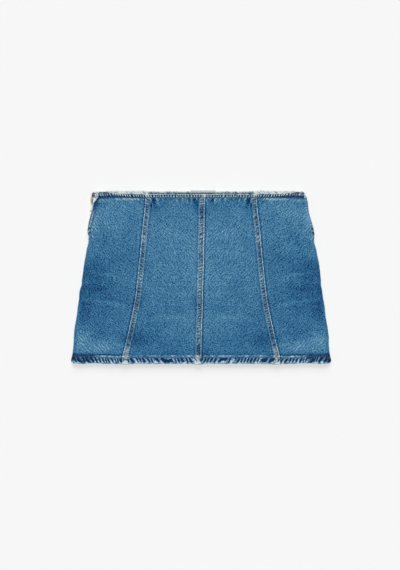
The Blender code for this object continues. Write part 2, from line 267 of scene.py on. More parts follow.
# Ridges are positive. They fan in from the side seams, and pucker below the waist.
FRONT_CREASES = each(
    Crease,
    # x0, y0, x1, y1, width, height
    (-200, 157, -140, 148, 2.6, 0.55),
    (-202, 138, -158, 133, 2.4, 0.45),
    (-204, 124, -150, 113, 2.4, 0.5),
    (-205, 111, -130, 97, 2.8, 0.65),
    (-200, 150, -156, 141, 3, -0.2),
    (-204, 131, -160, 124, 3.4, -0.2),
    (-206, 118, -160, 106, 3, -0.2),
    (-212, 52, -176, 33, 2.8, 0.5),
    (-214, 40, -186, 22, 2.4, 0.45),
    (-196, 50, -160, 28, 3, 0.4),
    (-170, 238, -128, 224, 5, 0.35),
    (-86, 283, -78, 254, 1.7, 0.5),
    (-81, 283, -69, 258, 1.7, 0.45),
    (-89, 284, -86, 258, 1.5, 0.35),
    (-73, 282, -60, 264, 1.9, 0.3),
    (-12, 281, -17, 262, 1.7, 0.4),
    (-17, 281, -28, 266, 1.8, 0.3),
    (-22, 70, -80, 82, 4, 0.3),
    (-104, 62, -116, 30, 4.5, -0.2),
)

FRONT_WASH = each(
    Patch,
    # x, y, wide, tall, tone, turn
    (-198, 160, 34, 17, -0.15),
    (-188, 128, 34, 10, -0.15, 6),
    (-200, 100, 24, 20, -0.16),
    (-206, 130, 9, 50, -0.1),
    (-165, 128, 30, 22, -0.09),
    (-140, 178, 24, 8, -0.07),
    (-164, 150, 22, 4, 0.07, -3),
    (-165, 104, 34, 4, 0.1, -12),
    (-180, 116, 20, 3, 0.06, -10),
    (-150, 252, 24, 20, 0.08),
    (-180, 242, 8, 24, 0.14),
    (-203, 41, 16, 14, 0.17),
    (-166, 30, 30, 13, 0.15),
    (-108, 38, 13, 16, -0.13),
    (-133, 42, 6, 13, -0.15),
    (-198, 79, 16, 15, -0.1),
    (-178, 110, 14, 7, -0.05),
    (-165, 136, 9, 8, 0.06),
    (-120, 276, 5, 4, 0.08),
    (-76, 264, 8, 8, -0.05),
    (-76, 68, 15, 7, -0.04),
    (-13, 42, 8, 9, 0.06),
    (-10, 260, 6, 5, -0.05),
    (-175.5, 272.5, 3, 3.5, -0.25),
    (-188, 144, 14, 8, -0.08),
    (-104, 103, 10, 9, -0.06),
    (-97, 210, 9, 10, 0.05),
    (-96, 40, 22, 14, -0.1),
    (-163, 66, 24, 12, -0.05),
    (-80, 272, 7, 13, -0.13, 10),
    (-62, 272, 14, 10, -0.05),
    (-81.3, 276.5, 2.3, 6, -0.5, 14),
    (-84.8, 268, 1.5, 5, -0.4, 10),
    (-68.5, 279, 1.5, 3.6, -0.36, 38),
    (-61, 279.5, 2.2, 2.4, -0.24),
    (-47, 280, 1.6, 2.4, -0.2),
    (-36, 279, 2, 3.4, -0.26, 10),
    (-84.6, 276.5, 1, 6.5, 0.44, 14),
    (-74.6, 277.5, 1, 5, 0.44, 14),
    (-71.2, 280.5, 1, 3, 0.3, 45),
    (-55, 278.5, 1, 3.6, 0.2, 20),
    (-41.5, 278.5, 1, 3.6, 0.2, 10),
    (-27, 278, 1.1, 3.6, 0.26),
    (-104.3, 274.6, 2, 2.2, -0.24),
    (-115, 276, 1.6, 1.6, -0.16),
    (-107.5, 273, 1.2, 3.4, 0.12),
    (-20.3, 278.4, 1.4, 4, -0.34, 4),
    (-23.4, 277.6, 1.2, 4.6, 0.3, 6),
    (-31.5, 278.6, 1.2, 3.4, 0.24, 10),
    (-51.5, 279.4, 1.5, 3, -0.26),
    (-65.4, 278.4, 1.2, 3.4, 0.3, 24),
    (-77.8, 277.6, 1.3, 4.2, -0.3, 14),
    (-88.2, 276.4, 1.3, 4.4, -0.3, 4),
    (-50, 205, 34, 50, 0.04),
    (-13, 172, 17, 78, 0.06),
    (-26, 267, 13, 12, -0.07),
    (-168, 159, 42, 15, -0.085),
    (-150, 106, 46, 20, -0.1),
    (-174, 44, 46, 17, -0.09),
    (-82, 76, 25, 21, -0.075),
    (-125, 186, 46, 24, -0.04),
    (-167, 214, 21, 25, -0.055),
    (-66, 20, 34, 9, -0.06),
    (-112, 277, 14, 5, 0.06),
    (-152, 76, 46, 18, -0.05),
    (-60, 78, 34, 5, 0.06, 6),
    (-45, 36, 50, 18, -0.08),
    (-30, 96, 30, 14, -0.04),
) + each(
    partial(Patch, mirrored=False),
    (-9, 272, 5, 12, -0.14),
    (-26, 277, 6, 6, -0.1),
    (9, 277, 6, 6, 0.1),
    (42, 287, 7, 9, 0.05),
    (-16.3, 277.6, 0.9, 5.2, 0.44, 2),
    (-12.2, 277.6, 2.1, 4.6, -0.4),
    (-7.4, 280, 1, 3.2, 0.4, 38),
    (-6.2, 271, 1.7, 8, -0.2, -6),
    (13.2, 276, 1.2, 4, -0.45, 40),
    (9.6, 277.5, 1.4, 3, 0.22, 40),
    (24, 279, 0.9, 3.6, 0.24),
    (19.5, 277, 2.2, 4, -0.3),
    (8, 258, 9, 11, -0.1),
    (-8, 104, 9, 12, -0.1),
    (6, 15, 8, 8, -0.22),
)

BACK_WASH = each(
    Patch,
    # x, y, wide, tall, tone, turn
    (-62, 170, 46, 60, 0.07),
    (-196, 120, 22, 60, -0.13),
    (-150, 60, 44, 26, 0.05),
    (-118, 40, 18, 18, -0.12),
    (-20, 255, 60, 22, -0.06),
    (-40, 36, 60, 18, -0.06),
)

# Where the seams' bands rub paler: height, half length, tone.
SIDE_GLOW = (
    (276, 7, 0.24),
    (266, 4, -0.20),
    (243, 12, 0.09),
    (214, 11, 0.17),
    (210, 6, 0.16),
    (197, 5, -0.16),
    (182, 5, 0.12),
    (147, 13, 0.17),
    (145, 6, 0.14),
    (135, 4, 0.08),
    (127, 4, -0.08),
    (118, 6, 0.08),
    (109, 5, -0.18),
    (80, 11, 0.28),
    (57, 7, -0.20),
    (36, 5, -0.10),
    (23, 5, 0.16),
)
CENTRE_GLOW = (
    (274, 5, 0.32),
    (258, 7, -0.26),
    (230, 14, 0.20),
    (200, 9, 0.13),
    (176, 5, -0.13),
    (163, 9, 0.29),
    (146, 4, -0.08),
    (131, 14, 0.24),
    (110, 4, -0.12),
    (104, 3, 0.16),
    (94, 5, -0.10),
    (86, 9, 0.10),
    (60, 12, 0.20),
    (46, 7, 0.15),
    (23, 6, -0.40),
)
# How pale the outermost thread of a side edge is rubbed, by height.
EDGE_WEAR = (
    # height, tone
    (20, -0.08),
    (62, -0.06),
    (78, 0.02),
    (96, 0.13),
    (112, 0.02),
    (150, 0),
    (176, 0.09),
    (198, 0.02),
    (214, 0.07),
    (236, 0.09),
    (254, 0.02),
)


@dataclass
class Surface:
    """What a ply gets at each point.

    Attributes:
        rise: Height over its plain form.
        tone: How much paler than the plain wash.
        bare: How far the blue is rubbed off.
        ropes: Strength of the fine ticks that washing pulls into stitched edges.
    """

    rise: Array | float = 0.0
    tone: Array | float = 0.0
    bare: Array | float = 0.0
    ropes: Array | float = 0.0

    def plus(self, other: Surface, share: Array | float = 1.0) -> Surface:
        """This surface with a share of another added."""
        return Surface(
            self.rise + other.rise * share,
            self.tone + other.tone * share,
            self.bare + other.bare * share,
            self.ropes + other.ropes * share,
        )


class SeamWork:
    """Heights and wear of hems, felled bands, ditches and the wash, with painted shade and highlight in
    places, at any point of the skirt.
    """

    def __init__(self, pattern: Pattern) -> None:
        """Prepares the unevenness that every piece shares."""
        self.pattern = pattern
        self.slow = Ripple(11, 55, 130)
        self.fine = Ripple(12, 9, 22)
        self.tone_slow = Ripple(13, 26, 70)
        self.tone_fine = Ripple(14, 7, 16)
        self.jitter = Ripple(15, 12, 34)
        self.quick = Ripple(16, 3.6, 8)

    def wave(self, x: Array, y: Array) -> Array:
        """How far the whole front stands off its plain form, the same for every ply there."""
        inside = np.minimum(y - 14.4, self.pattern.front_top(x) - 10 - y)
        edge = self.pattern.half_width(y) - abs(x)
        mask = smooth(0, 9, inside) * smooth(1, 9, edge)
        total = 0.28 + 0.16 * self.slow(x, y)
        for crease in FRONT_CREASES:
            total += crease.read(x, y)
        return np.maximum(total, -0.12) * mask

    def wash(self, x: Array, y: Array, front: bool) -> Array:
        """The tone that the wash left, without seams and hems, with painted highlight on the creases'
        ridges and painted shade in their troughs.
        """
        total = 0.016 * self.tone_slow(x, y) + 0.012 * self.tone_fine(x, y)
        for patch in FRONT_WASH if front else BACK_WASH:
            total += patch.read(x, y)
        # Painted highlight and shade: each crease's ridge is made paler and its trough darker.
        if front:
            for crease in FRONT_CREASES:
                total += 0.09 * crease.read(x, y)
        return total

    def band_turns(self, y: Array, inward: Array) -> Array:
        """Turns of the ticks along a felled band, which lean a little across it."""
        return (y + 0.3 * inward) / 5 + 0.5 * self.slow(y, 20) + 0.34 * self.jitter(y, inward * 0.2)

    def hem_turns(self, x: Array, y: Array) -> Array:
        """Turns of the ticks along the hem: wide in the middle, close towards the sides."""
        span = abs(x)
        outer = np.maximum(span - 128, 0)
        drift = 0.55 * self.slow(x, 3) + 0.17 * self.jitter(x, y * 0.1)
        return span / 8.4 + outer * (1 / 6.1 - 1 / 8.4) - y / 13.5 + drift

    def rope(self, turns: Array) -> Array:
        """The ticks' height from -1 to 1."""
        return np.clip(1.5 * np.cos(2 * math.pi * turns), -1, 1)

    def glow(self, y: Array, table: Sequence[tuple[float, float, float]]) -> Array:
        """How pale a band is rubbed along its length."""
        total = np.zeros_like(y)
        for at, half, tone in table:
            total += tone * near(y, at, half)
        return total

    def band(self, inward: Array, y: Array, width: float, centre: bool) -> Surface:
        """A felled band, by the distance in from its folded edge.

        Args:
            inward: Distance from the folded edge, positive on the band.
            y: Height above the hem.
            width: The band's width.
            centre: Whether it is the centre seam.

        Returns:
            The band's rise and wear, which fade out past its foot.
        """
        on = smooth(-0.3, 0.1, inward)
        face = on * (1 - smooth(0, 1.6, inward - width))
        rope = self.rope(self.band_turns(y, inward))
        inner = smooth(1.4, 2.6, inward) * (1 - smooth(-2.6, -1.4, inward - width))
        shoulder = near(inward, width - 1.2, 0.95)
        rise = 0.2 * inner * (0.4 + 0.8 * rope) - 0.22 * near(inward, 2.5, 0.7)
        rise = (rise + 0.12 * shoulder - 0.4 * np.exp(-np.maximum(inward, 0) / 0.25)) * face
        glow = self.glow(y, CENTRE_GLOW if centre else SIDE_GLOW)
        patchy = 1 + 0.22 * self.fine(y, inward * 0.3)
        tone = 0.36 * near(inward, 0.5, 0.8) * patchy - 0.16 * near(inward, 2.5, 0.8)
        tone += (0.4 * glow - 0.14) * inner + 0.12 * shoulder * patchy
        tone = tone * on + (0.1 * glow + 0.05 * self.quick(y, inward)) * face
        tone -= 0.1 * near(inward, width + 1.7, 1.1)
        bare = 0.03 * near(inward, 0.5, 0.8) + (0.42 if centre else 0.34) * inner
        return Surface(rise, tone, (bare + 0.3 * glow * inner) * on, 0.17 * inner * on)

    def ditch(self, outward: Array) -> Surface:
        """The dark, unworn groove beside a band's folded edge."""
        beside = np.where(outward > -0.6, 1, 0)
        tone = -0.31 * near(outward, 1.2, 1) - 0.04 * near(outward, 2, 3)
        tone += 0.07 * near(outward, 4.4, 1.2)
        rise = -0.12 * near(outward, 0.6, 1.2)
        return Surface(rise * beside, tone * beside)

    def hem_row(self, x: Array | float) -> Array:
        """Height of the hem's one row of stitches, which climbs a little towards the sides."""
        span = abs(x)
        return 10.3 + 1.9 * smooth(150, 200, span) - 1.2 * near(span, 145, 13)

    def hem(self, x: Array, y: Array) -> Surface:
        """The turned hem: ticks below its one row of stitches, a pale edge above and below, and painted
        shade on the cloth just above it.

        Args:
            x: Across the garment.
            y: Above the hem.

        Returns:
            Its rise and wear, which end at its fold, and the painted shade above the fold.
        """
        span = abs(x)
        deep = self.pattern.hem_deep
        up = y - self.hem_row(x)
        on = 1 - smooth(deep, deep + 0.9, y)
        rope = self.rope(self.hem_turns(x, y))
        window = smooth(0.3, 2.6, y) * (1 - smooth(-2, -0.5, up))
        row = near(up, 0, 0.8)
        dip = near(span, 145, 13)
        lip = near(y, deep - 0.3 - 1.2 * dip, 1.1)
        rise = (0.3 * rope * window - 0.28 * row + 0.12 * lip) * on
        sides = smooth(126, 146, span)
        lip = lip * (1 - 0.85 * sides * (1 - 1.5 * near(span, 160, 17)))
        patchy = self.fine(x, 7) + 0.6 * self.quick(x, 3)
        tone = 0.05 * self.quick(x, y) - 0.17 * window - 0.2 * row + 0.26 * lip * (1 + 0.6 * patchy)
        tone += 0.10 * self.jitter(x, 3) * window - 0.1 * near(y, 6.6, 2.4)
        tone += 0.38 * near(y, 0.3, 3) * (0.85 + 0.5 * self.fine(x, y * 0.3))
        outer = smooth(172, 192, span)
        tone -= 0.3 * outer * smooth(1, 4, y)
        tone -= 0.10 * (near(span, 115, 6) + near(span, 91, 6) + near(span, 62, 8))
        # Painted shade: a dark band just above the hem's fold, strongest towards the sides.
        above = near(y, deep + 3.4 - 1.6 * sides, 2.2) * (0.09 + 0.24 * smooth(128, 176, span))
        above += 0.1 * near(y, deep + 1.2, 0.7)
        above += 0.2 * near(y, deep + 1.5 - dip, 0.9) * near(span, 150, 20)
        bare = (0.08 + 0.24 * near(y, 0, 1.6) + 0.3 * row + 0.1 * lip) * on
        return Surface(rise, tone * on - above, bare, 0.44 * window * on)

    def droop(self, x: Array) -> Array:
        """How far the hem's edge hangs below its line, most where a seam's band ends in it."""
        span = abs(x)
        scallop = 0.25 * np.cos(2 * math.pi * self.hem_turns(x, 0 * x))
        level = 0.75 + 1.1 * near(x, -4.5, 8)
        level += 0.9 * near(span, 129, 9) - 1.2 * near(span, 180, 14)
        return (level + scallop) * (1 - smooth(205, 218, span))

    def lump(self, x: Array, y: Array) -> Surface:
        """Where a felled band runs into the hem and is rubbed pale."""
        seam = self.pattern.side_seam(y)
        middle = self.pattern.centre_seam(y)
        at = near(abs(x) - seam, -5.2, 4.8) * (1 - smooth(21, 31, y))
        at = at + near(x - middle, -5.6, 5.2) * (1 - smooth(12, 16, y))
        return Surface(0.12 * at, (0.16 + 0.24 * (1 - smooth(9, 13, y))) * at, 0.5 * at, -0.3 * at)

    def waist(self, x: Array, y: Array, front: bool) -> Surface:
        """The line under the binding, and a pale strip at the sides painted as a highlight on the ridge
        that it pulls up.

        Args:
            x: Across the garment.
            y: Above the hem.
            front: Whether it is the front.

        Returns:
            Its wear and painted highlight.
        """
        span = abs(x)
        down = self.pattern.binding_foot - y if front else self.pattern.back_top(x) - 7 - y
        # Painted highlight: a pale strip just below the binding at the sides, on the ridge that it pulls
        # up.
        tone = 0.32 * near(down, 1.4, 2.2) * smooth(98, 112, span) * (1 - smooth(140, 158, span))
        tone += 0.1 * near(down, 0.8, 1) * (1 - smooth(86, 100, span))
        ends = smooth(156, 162, span) * (1 - smooth(173, 175.5, span))
        tone -= 0.42 * near(down, -0.6, 1.3) * ends
        tone += 0.18 * near(down, 3, 1.8) * smooth(148, 156, span)
        return Surface(tone=tone)

    def placket(self, side: int, inward: Array, y: Array) -> Surface:
        """The front's folded edge beside the zip, with painted highlight and shade, and the plainer
        closed side seam, with painted shade on its roll.

        Args:
            side: -1 on the left, where the zip is.
            inward: Distance in from the side edge.
            y: Height above the hem.

        Returns:
            Its wear, painted highlight and painted shade.
        """
        high = smooth(204, 214, y)
        heights, tones = zip(*EDGE_WEAR)
        worn = np.interp(y, heights, tones) * near(inward, 0, 6)
        worn += 0.24 * (1 - high) * near(inward, 0, 1.2)
        if side > 0:
            # On the right, painted shade darkens the roll of the edge in its upper part.
            tone = worn + high * (-0.2 * near(inward, 0.2, 1) + 0.12 * near(inward, 3.2, 2.2))
            return Surface(tone=tone)
        top = smooth(252, 270, y)
        fold = near(inward, 0.3, 1.2) * (0.75 + 0.25 * self.fine(inward * 0.2, y))
        # Beside the zip, the folded edge is rubbed pale and, near the top, also painted with a
        # highlight; the band just inside it is painted shade.
        tone = worn + high * (0.2 + 0.6 * top) * fold - top * 0.54 * near(inward, 3.2, 1.9)
        rows = 4.4 + 1.4 * smooth(222, 244, y)
        dark = high * smooth(212, 222, y)
        tone += high * (0.22 * near(inward, rows + 2.2, 1.2) - 0.36 * near(inward, rows, 1))
        double = 0.36 * near(inward, rows - 2, 1) - 0.3 * near(inward, rows - 3.9, 0.7)
        tone += dark * (1 - top) * double
        tone += 0.3 * dark * near(inward, 0.1, 0.8)
        bare = high * (0.1 + 0.3 * top) * fold + 0.45 * high * near(inward, rows, 1.2)
        bare += 0.3 * dark * (1 - top) * near(inward, rows - 2, 1.2)
        return Surface(-0.15 * high * near(inward, 2.8, 1.2), tone, bare)


WORK = SeamWork(PATTERN)


def form(x: Array, y: Array) -> Array:
    """How far the front's plies stand over their plain levels: the panels' swell and the creases.

    Args:
        x: Across the garment.
        y: Above the hem.

    Returns:
        Heights in millimetres.
    """
    p = PATTERN
    span = abs(x)
    seam = p.side_seam(y)
    centre = p.centre_seam(y)
    outer = (span - seam - 0.9) / (p.half_width(y) - p.edge_roll - seam - 0.9)
    left_end = centre - p.centre_band - 1.4
    left = (x + seam - p.band_foot) / (left_end + seam - p.band_foot)
    right = (x - centre - 0.9) / (seam - p.band_foot - centre - 0.9)
    share = np.where(span > seam, outer, np.where(x < centre, left, right))
    upward = np.sin(math.pi * np.clip((y - 12) / 258, 0, 1))
    swell = p.swell * np.sin(math.pi * np.clip(share, 0, 1)) * upward
    return swell + WORK.wave(x, y)


def outline_wave(y: Array, side: int) -> Array:
    """Small in-and-out waves of a side edge, which is seldom quite straight.

    Args:
        y: Above the hem.
        side: -1 for the left edge, 1 for the right.

    Returns:
        How far the edge stands out past its straight line.
    """
    waves = (
        # height, left, right, half length
        (283, 0, 2, 12),
        (268, 0, 1.3, 14),
        (259, -1.3, -1.3, 13),
        (216, -1.1, 0, 4),
        (207, -3.3, -3.3, 12),
        (186, -1.1, -1.1, 11),
        (172, -0.8, 1.1, 38),
        (134, -0.9, -0.9, 4),
        (121, 1.3, 0.2, 9),
        (96, 0.9, 1.3, 13),
        (60, 1.9, 1.9, 19),
        (44, 0.3, 1.1, 9),
        (5, 1.2, 1.2, 7),
        (0, -3, -3, 2.6),
    )
    total = np.zeros_like(y)
    for at, left, right, half in waves:
        total = total + (left if side < 0 else right) * near(y, at, half)
    return total


class Lie(Enum):
    """How a column of a panel lies where two panels meet."""

    FLAT = 0
    UNDER = 1


@dataclass(frozen=True)
class Column:
    """One column of a panel: its share and offset between two lines, how it lies, and its roll."""

    share: float
    offset: float
    lie: Lie = Lie.FLAT
    roll: float = -1.0


def steps(low: float, high: float, spacing: float) -> list[float]:
    """Evenly spaced numbers strictly between two others, no further apart than the spacing."""
    count = max(1, int(math.ceil((high - low) / spacing)))
    return [low + (high - low) * i / count for i in range(1, count)]


def write_mesh(
    name: str, points: Array, faces: Sequence[Sequence[int]], values: dict[str, Array]
) -> Piece:
    """Writes a mesh in metres from points in millimetres, with one number per point for each name.

    Args:
        name: The piece's name.
        points: Rows of x, y and z in millimetres, with y above the hem.
        faces: Corners of each face.
        values: Point attributes.

    Returns:
        The new object, shaded softly up to its sharp edges.
    """
    placed = np.asarray(points, dtype=float).copy()
    placed[:, 1] -= PATTERN.label_top / 2
    placed *= 0.001
    mesh = bpy.data.meshes.new(name)
    mesh.from_pydata(placed.tolist(), [], [tuple(face) for face in faces])
    for key, numbers in values.items():
        layer = mesh.attributes.new(key, "FLOAT", "POINT")
        layer.data.foreach_set("value", np.asarray(numbers, dtype=np.float32).ravel())
    item = bpy.data.objects.new(name, mesh)
    bpy.context.scene.collection.objects.link(item)
    shade(item, CLOTH_ANGLE)
    return item


def choose(item: Piece) -> None:
    """Makes this the only selected and the active object."""
    for other in bpy.context.selected_objects:
        other.select_set(False)
    item.select_set(True)
    bpy.context.view_layer.objects.active = item


def shade(item: Piece, angle: float) -> None:
    """Shades a piece softly, except over edges sharper than the angle in degrees."""
    choose(item)
    bpy.ops.object.shade_smooth_by_angle(angle=math.radians(angle))


def dress(item: Piece, material: Finish, body: str = BODY) -> None:
    """Gives a piece its finish and the body that it rides on."""
    item.data.materials.clear()
    item.data.materials.append(material)
    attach(item, body)


def stacked(x: Array, y: Array | float, z: Array | float) -> Array:
    """Points from their three coordinates, each spread to the shape of the others."""
    return np.stack(np.broadcast_arrays(x, y, z), axis=-1)


def points_of(item: Piece) -> Array:
    """The points of a piece's mesh."""
    return np.array([tuple(vertex.co) for vertex in item.data.vertices])


def move_points(item: Piece, points: Array) -> None:
    """Moves the points of a metal piece to places in millimetres, and shades it."""
    item.data.vertices.foreach_set("co", (points * 0.001).ravel())
    item.data.update()
    shade(item, METAL_ANGLE)


@contextmanager
def editing(select: str = "SELECT") -> Iterator[None]:
    """Opens the active piece in edit mode with everything selected, or nothing with DESELECT."""
    bpy.ops.object.mode_set(mode="EDIT")
    bpy.ops.mesh.select_all(action=select)
    yield
    bpy.ops.object.mode_set(mode="OBJECT")


def side_word(side: int) -> str:
    """The name of a side: left for -1 and right for 1."""
    return "left" if side < 0 else "right"


def face_word(front: bool) -> str:
    """The name of a face."""
    return "front" if front else "back"


def grid_faces(rows: int, columns: int, shift: int, turned: bool) -> list[tuple[int, int, int, int]]:
    """Faces of a grid of points that starts at a given index."""
    i, j = np.meshgrid(np.arange(rows - 1), np.arange(columns - 1), indexing="ij")
    a = (i * columns + j + shift).ravel()
    quads = np.stack([a, a + 1, a + 1 + columns, a + columns], axis=1)
    if turned:
        quads = quads[:, ::-1]
    return [tuple(quad) for quad in quads.tolist()]


def make_wall(name: str, upper: Array, lower: Array, values: dict[str, tuple[Array, Array]]) -> Piece:
    """Makes a closed wall of cloth between an upper and a lower grid whose x and y both rise.

    Args:
        name: The piece's name.
        upper: Rows by columns by 3, the upper surface.
        lower: The same for the lower surface.
        values: For each attribute, its numbers on the upper and on the lower surface.

    Returns:
        The new object.
    """
    rows, columns = upper.shape[:2]
    shift = rows * columns
    faces = grid_faces(rows, columns, 0, False) + grid_faces(rows, columns, shift, True)
    rim = list(range(columns))
    rim += [i * columns + columns - 1 for i in range(1, rows)]
    rim += [(rows - 1) * columns + j for j in range(columns - 2, -1, -1)]
    rim += [i * columns for i in range(rows - 2, 0, -1)]
    for a, b in zip(rim, rim[1:] + rim[:1]):
        faces.append((b, a, a + shift, b + shift))
    points = np.concatenate([upper.reshape(-1, 3), lower.reshape(-1, 3)])
    joined = {key: np.concatenate([top.ravel(), under.ravel()]) for key, (top, under) in values.items()}
    return write_mesh(name, points, faces, joined)


@dataclass
class Rows:
    """The rows of a panel: height as a + b * top edge, the face they belong to and two depths."""

    a: Array
    b: Array
    face: Array
    outer: Array
    inner: Array

    @classmethod
    def of_panel(cls, front: bool, spacing: float) -> Rows:
        """The rows of a skirt panel, with its hem's fold below and its tucked top edge above.

        Args:
            front: Whether it is a front panel.
            spacing: Distance between rows over the body.

        Returns:
            The rows from hem to top.
        """
        p = PATTERN
        hem, body, waist = (p.face_hem, p.face_body, p.face_waist) if front else (0, 0, 0)
        full = p.hem_plies
        lines: list[tuple[float, float, float, float, float]] = []
        for y, outer in ((0, 1.05), (0.1, 0.7), (0.32, 0.36), (0.7, 0.12), (1.2, 0)):
            lines.append((y, 0, hem, outer, full - outer))
        deep = p.hem_deep
        for y in steps(1.2, deep, 0.8) + [deep]:
            lines.append((y, 0, hem, 0, full))
        for share in (0.25, 0.5, 0.75):
            level = hem + (body - hem) * share
            lines.append((deep + share, 0, level, 0, full + (p.denim - full) * share))
        for share in [0] + steps(0, 1, spacing / p.body_long) + [1]:
            y = (deep + 1) * (1 - share) - p.turn_down * share
            lines.append((y, share, body, 0, p.denim))
        for share in (0.16, 0.33, 0.5, 0.67, 0.84, 1):
            level = body + (waist - body) * share
            y = -p.turn_down + 8 * share
            lines.append((y, 1, level, p.lap * share, p.lap * share + p.denim))
        for down in (4, 1.3):
            lines.append((-down, 1, waist, p.lap, p.lap + p.denim))
        table = np.array(lines)
        return cls(*(table[:, i] for i in range(5)))


@dataclass
class SkirtPanel:
    """One panel of the skirt as a shell on its solid's form."""

    name: str
    front: bool
    side: int
    left: Callable[[Array], Array]
    right: Callable[[Array], Array]
    columns: Sequence[Column]
    spacing: float

    def build(self) -> Piece:
        """Makes the panel's mesh with its folds, seams and wear.

        Returns:
            The panel.
        """
        rows = Rows.of_panel(self.front, self.spacing)
        share = np.array([column.share for column in self.columns])[None, :]
        offset = np.array([column.offset for column in self.columns])[None, :]
        lie = np.array([column.lie.value for column in self.columns])[None, :]
        roll = np.array([column.roll for column in self.columns])[None, :]
        a, b = rows.a[:, None], rows.b[:, None]
        outer_depth, inner_depth = rows.outer[:, None], rows.inner[:, None]
        top = PATTERN.front_top if self.front else PATTERN.back_top
        y = a + b * 287
        for _ in range(2):
            x = self.left(y) + (self.right(y) - self.left(y)) * share + offset
            x = np.where(roll >= 0, self.side_edge(y), x)
            y = a + b * top(x)
        y = y - WORK.droop(x) * (1 - np.clip(y / PATTERN.hem_deep, 0, 1))
        outer_depth = outer_depth + 0 * x
        inner_depth = inner_depth + 0 * x
        lie = lie + 0 * x
        u = abs(x) - PATTERN.side_seam(y)
        lift = np.zeros_like(x)
        if self.front:
            under = np.where(lie == Lie.UNDER.value, 1, 0)
            outer_depth = outer_depth + (inner_depth - PATTERN.denim - outer_depth) * under
            outwards = abs(x) > PATTERN.nearer_centre
            inward = np.where(outwards, -u, PATTERN.centre_seam(y) - x)
            width = np.where(outwards, PATTERN.band, PATTERN.centre_band)
            over = 1 - smooth(0, 1.6, inward - width)
            lift = np.where(self.laps_over(x), PATTERN.lap * over, 0)
        elif self.side != 0:
            under = 1 - smooth(0.4, 1.4, u)
            outer_depth = outer_depth + (inner_depth - PATTERN.denim - outer_depth) * under
            lift = PATTERN.lap * under
        outer = self.layer(x, y, outer_depth, rows, roll, lift)
        inner = self.layer(x, y, inner_depth, rows, roll, lift)
        wear = self.detail(outer, x, y, lie, roll)
        zero = np.zeros_like(x)
        order = slice(None, None, -1) if self.side < 0 and not self.is_centre() else slice(None)
        pairs = {key: (value, zero if key != "turns" else value) for key, value in wear.items()}
        pairs["reverse"] = (zero, zero + 1)
        turn = 1 if self.front else -1
        values = {key: tuple(half[:, order] for half in pair[::turn]) for key, pair in pairs.items()}
        upper, lower = (outer, inner)[::turn]
        return make_wall(self.name, upper[:, order], lower[:, order], values)

    def is_centre(self) -> bool:
        """Whether the panel is a centre panel, whose columns already run from left to right."""
        return "centre" in self.name

    def side_edge(self, y: Array) -> Array:
        """X of the side edge, which stands further out beside the zip on the back."""
        half = PATTERN.half_width(y) + outline_wave(y, self.side)
        if self.side < 0:
            half = half + (PATTERN.front_out(y) if self.front else PATTERN.back_out(y))
        return self.side * half

    def laps_over(self, x: Array) -> Array:
        """Where the panel's own band lies on a neighbour's tucked edge."""
        if self.name.endswith("centre_right"):
            return abs(x) >= PATTERN.nearer_centre
        return np.full_like(x, self.is_centre(), dtype=bool)

    def layer(self, x: Array, y: Array, depth: Array, rows: Rows, roll: Array, lift: Array) -> Array:
        """The points of one surface at the given depths below the outermost face.

        Args:
            x: Across the garment.
            y: Above the hem.
            depth: Depth below the outermost face.
            rows: The panel's rows.
            roll: Roll angle of each column, or -1.
            lift: How far a lap raises each point.

        Returns:
            Rows by columns by 3.
        """
        p = PATTERN
        face = rows.face[:, None]
        z = (face - depth if self.front else depth) + lift
        middle = p.seam_front if self.front else p.seam_back
        if self.front:
            z = z + form(x, y)
        turn = np.radians(np.maximum(roll, 0))
        half = np.abs(self.side_edge(y)) if self.side else p.half_width(y)
        rolled_x = half - p.edge_roll + (p.edge_roll - depth) * np.sin(turn)
        flat_x = half - p.edge_roll + p.edge_roll * np.sin(turn)
        rolled_z = middle + (z - middle) * np.cos(turn)
        share = 1 - smooth(166, 176, y) if self.side < 0 else np.ones_like(y)
        edge_x = self.side * (flat_x + (rolled_x - flat_x) * share)
        edge_z = z + (rolled_z - z) * share
        x = np.where(roll >= 0, edge_x, x)
        z = np.where(roll >= 0, edge_z, z)
        return stacked(x, y, z)

    def detail(self, outer: Array, x: Array, y: Array, lie: Array, roll: Array) -> dict[str, Array]:
        """Raises the outer surface by its seams and hem, and works out its wear.

        Args:
            outer: The outer surface, changed in place.
            x: Across the garment.
            y: Above the hem.
            lie: How each column lies.
            roll: Roll angle of each column, or -1.

        Returns:
            The wear at each point, by attribute.
        """
        p = PATTERN
        span = abs(x)
        seam = p.side_seam(y)
        work = WORK.hem(x, y).plus(WORK.lump(x, y)).plus(WORK.waist(x, y, self.front))
        work.tone += WORK.wash(x, y, self.front)
        high = smooth(p.hem_deep + 0.4, p.hem_deep + 1.6, y)
        on_hem = 0.35 + 0.65 * high
        inward = seam - span
        turns = WORK.band_turns(y, inward)
        if self.is_centre():
            band = self.on_band(inward, y, p.band, False, high)
            work = work.plus(band, np.where(span > p.nearer_centre, on_hem, 0))
        else:
            work = work.plus(WORK.ditch(span - seam))
        inward = p.centre_seam(y) - x
        if self.name.endswith("centre_left"):
            turns = np.where(span < p.nearer_centre, WORK.band_turns(y, inward), turns)
            band = self.on_band(inward, y, p.centre_band, True, high)
            work = work.plus(band, np.where(span < p.nearer_centre, on_hem, 0))
        elif self.name.endswith("centre_right"):
            work = work.plus(WORK.ditch(np.where(span < p.nearer_centre, -inward, FAR_AWAY)))
        rise = work.rise + 0.05 * WORK.fine(x, y) + 0.035 * WORK.quick(x, y)
        rise = np.where((lie == Lie.UNDER.value) | (roll > 30), 0, rise)
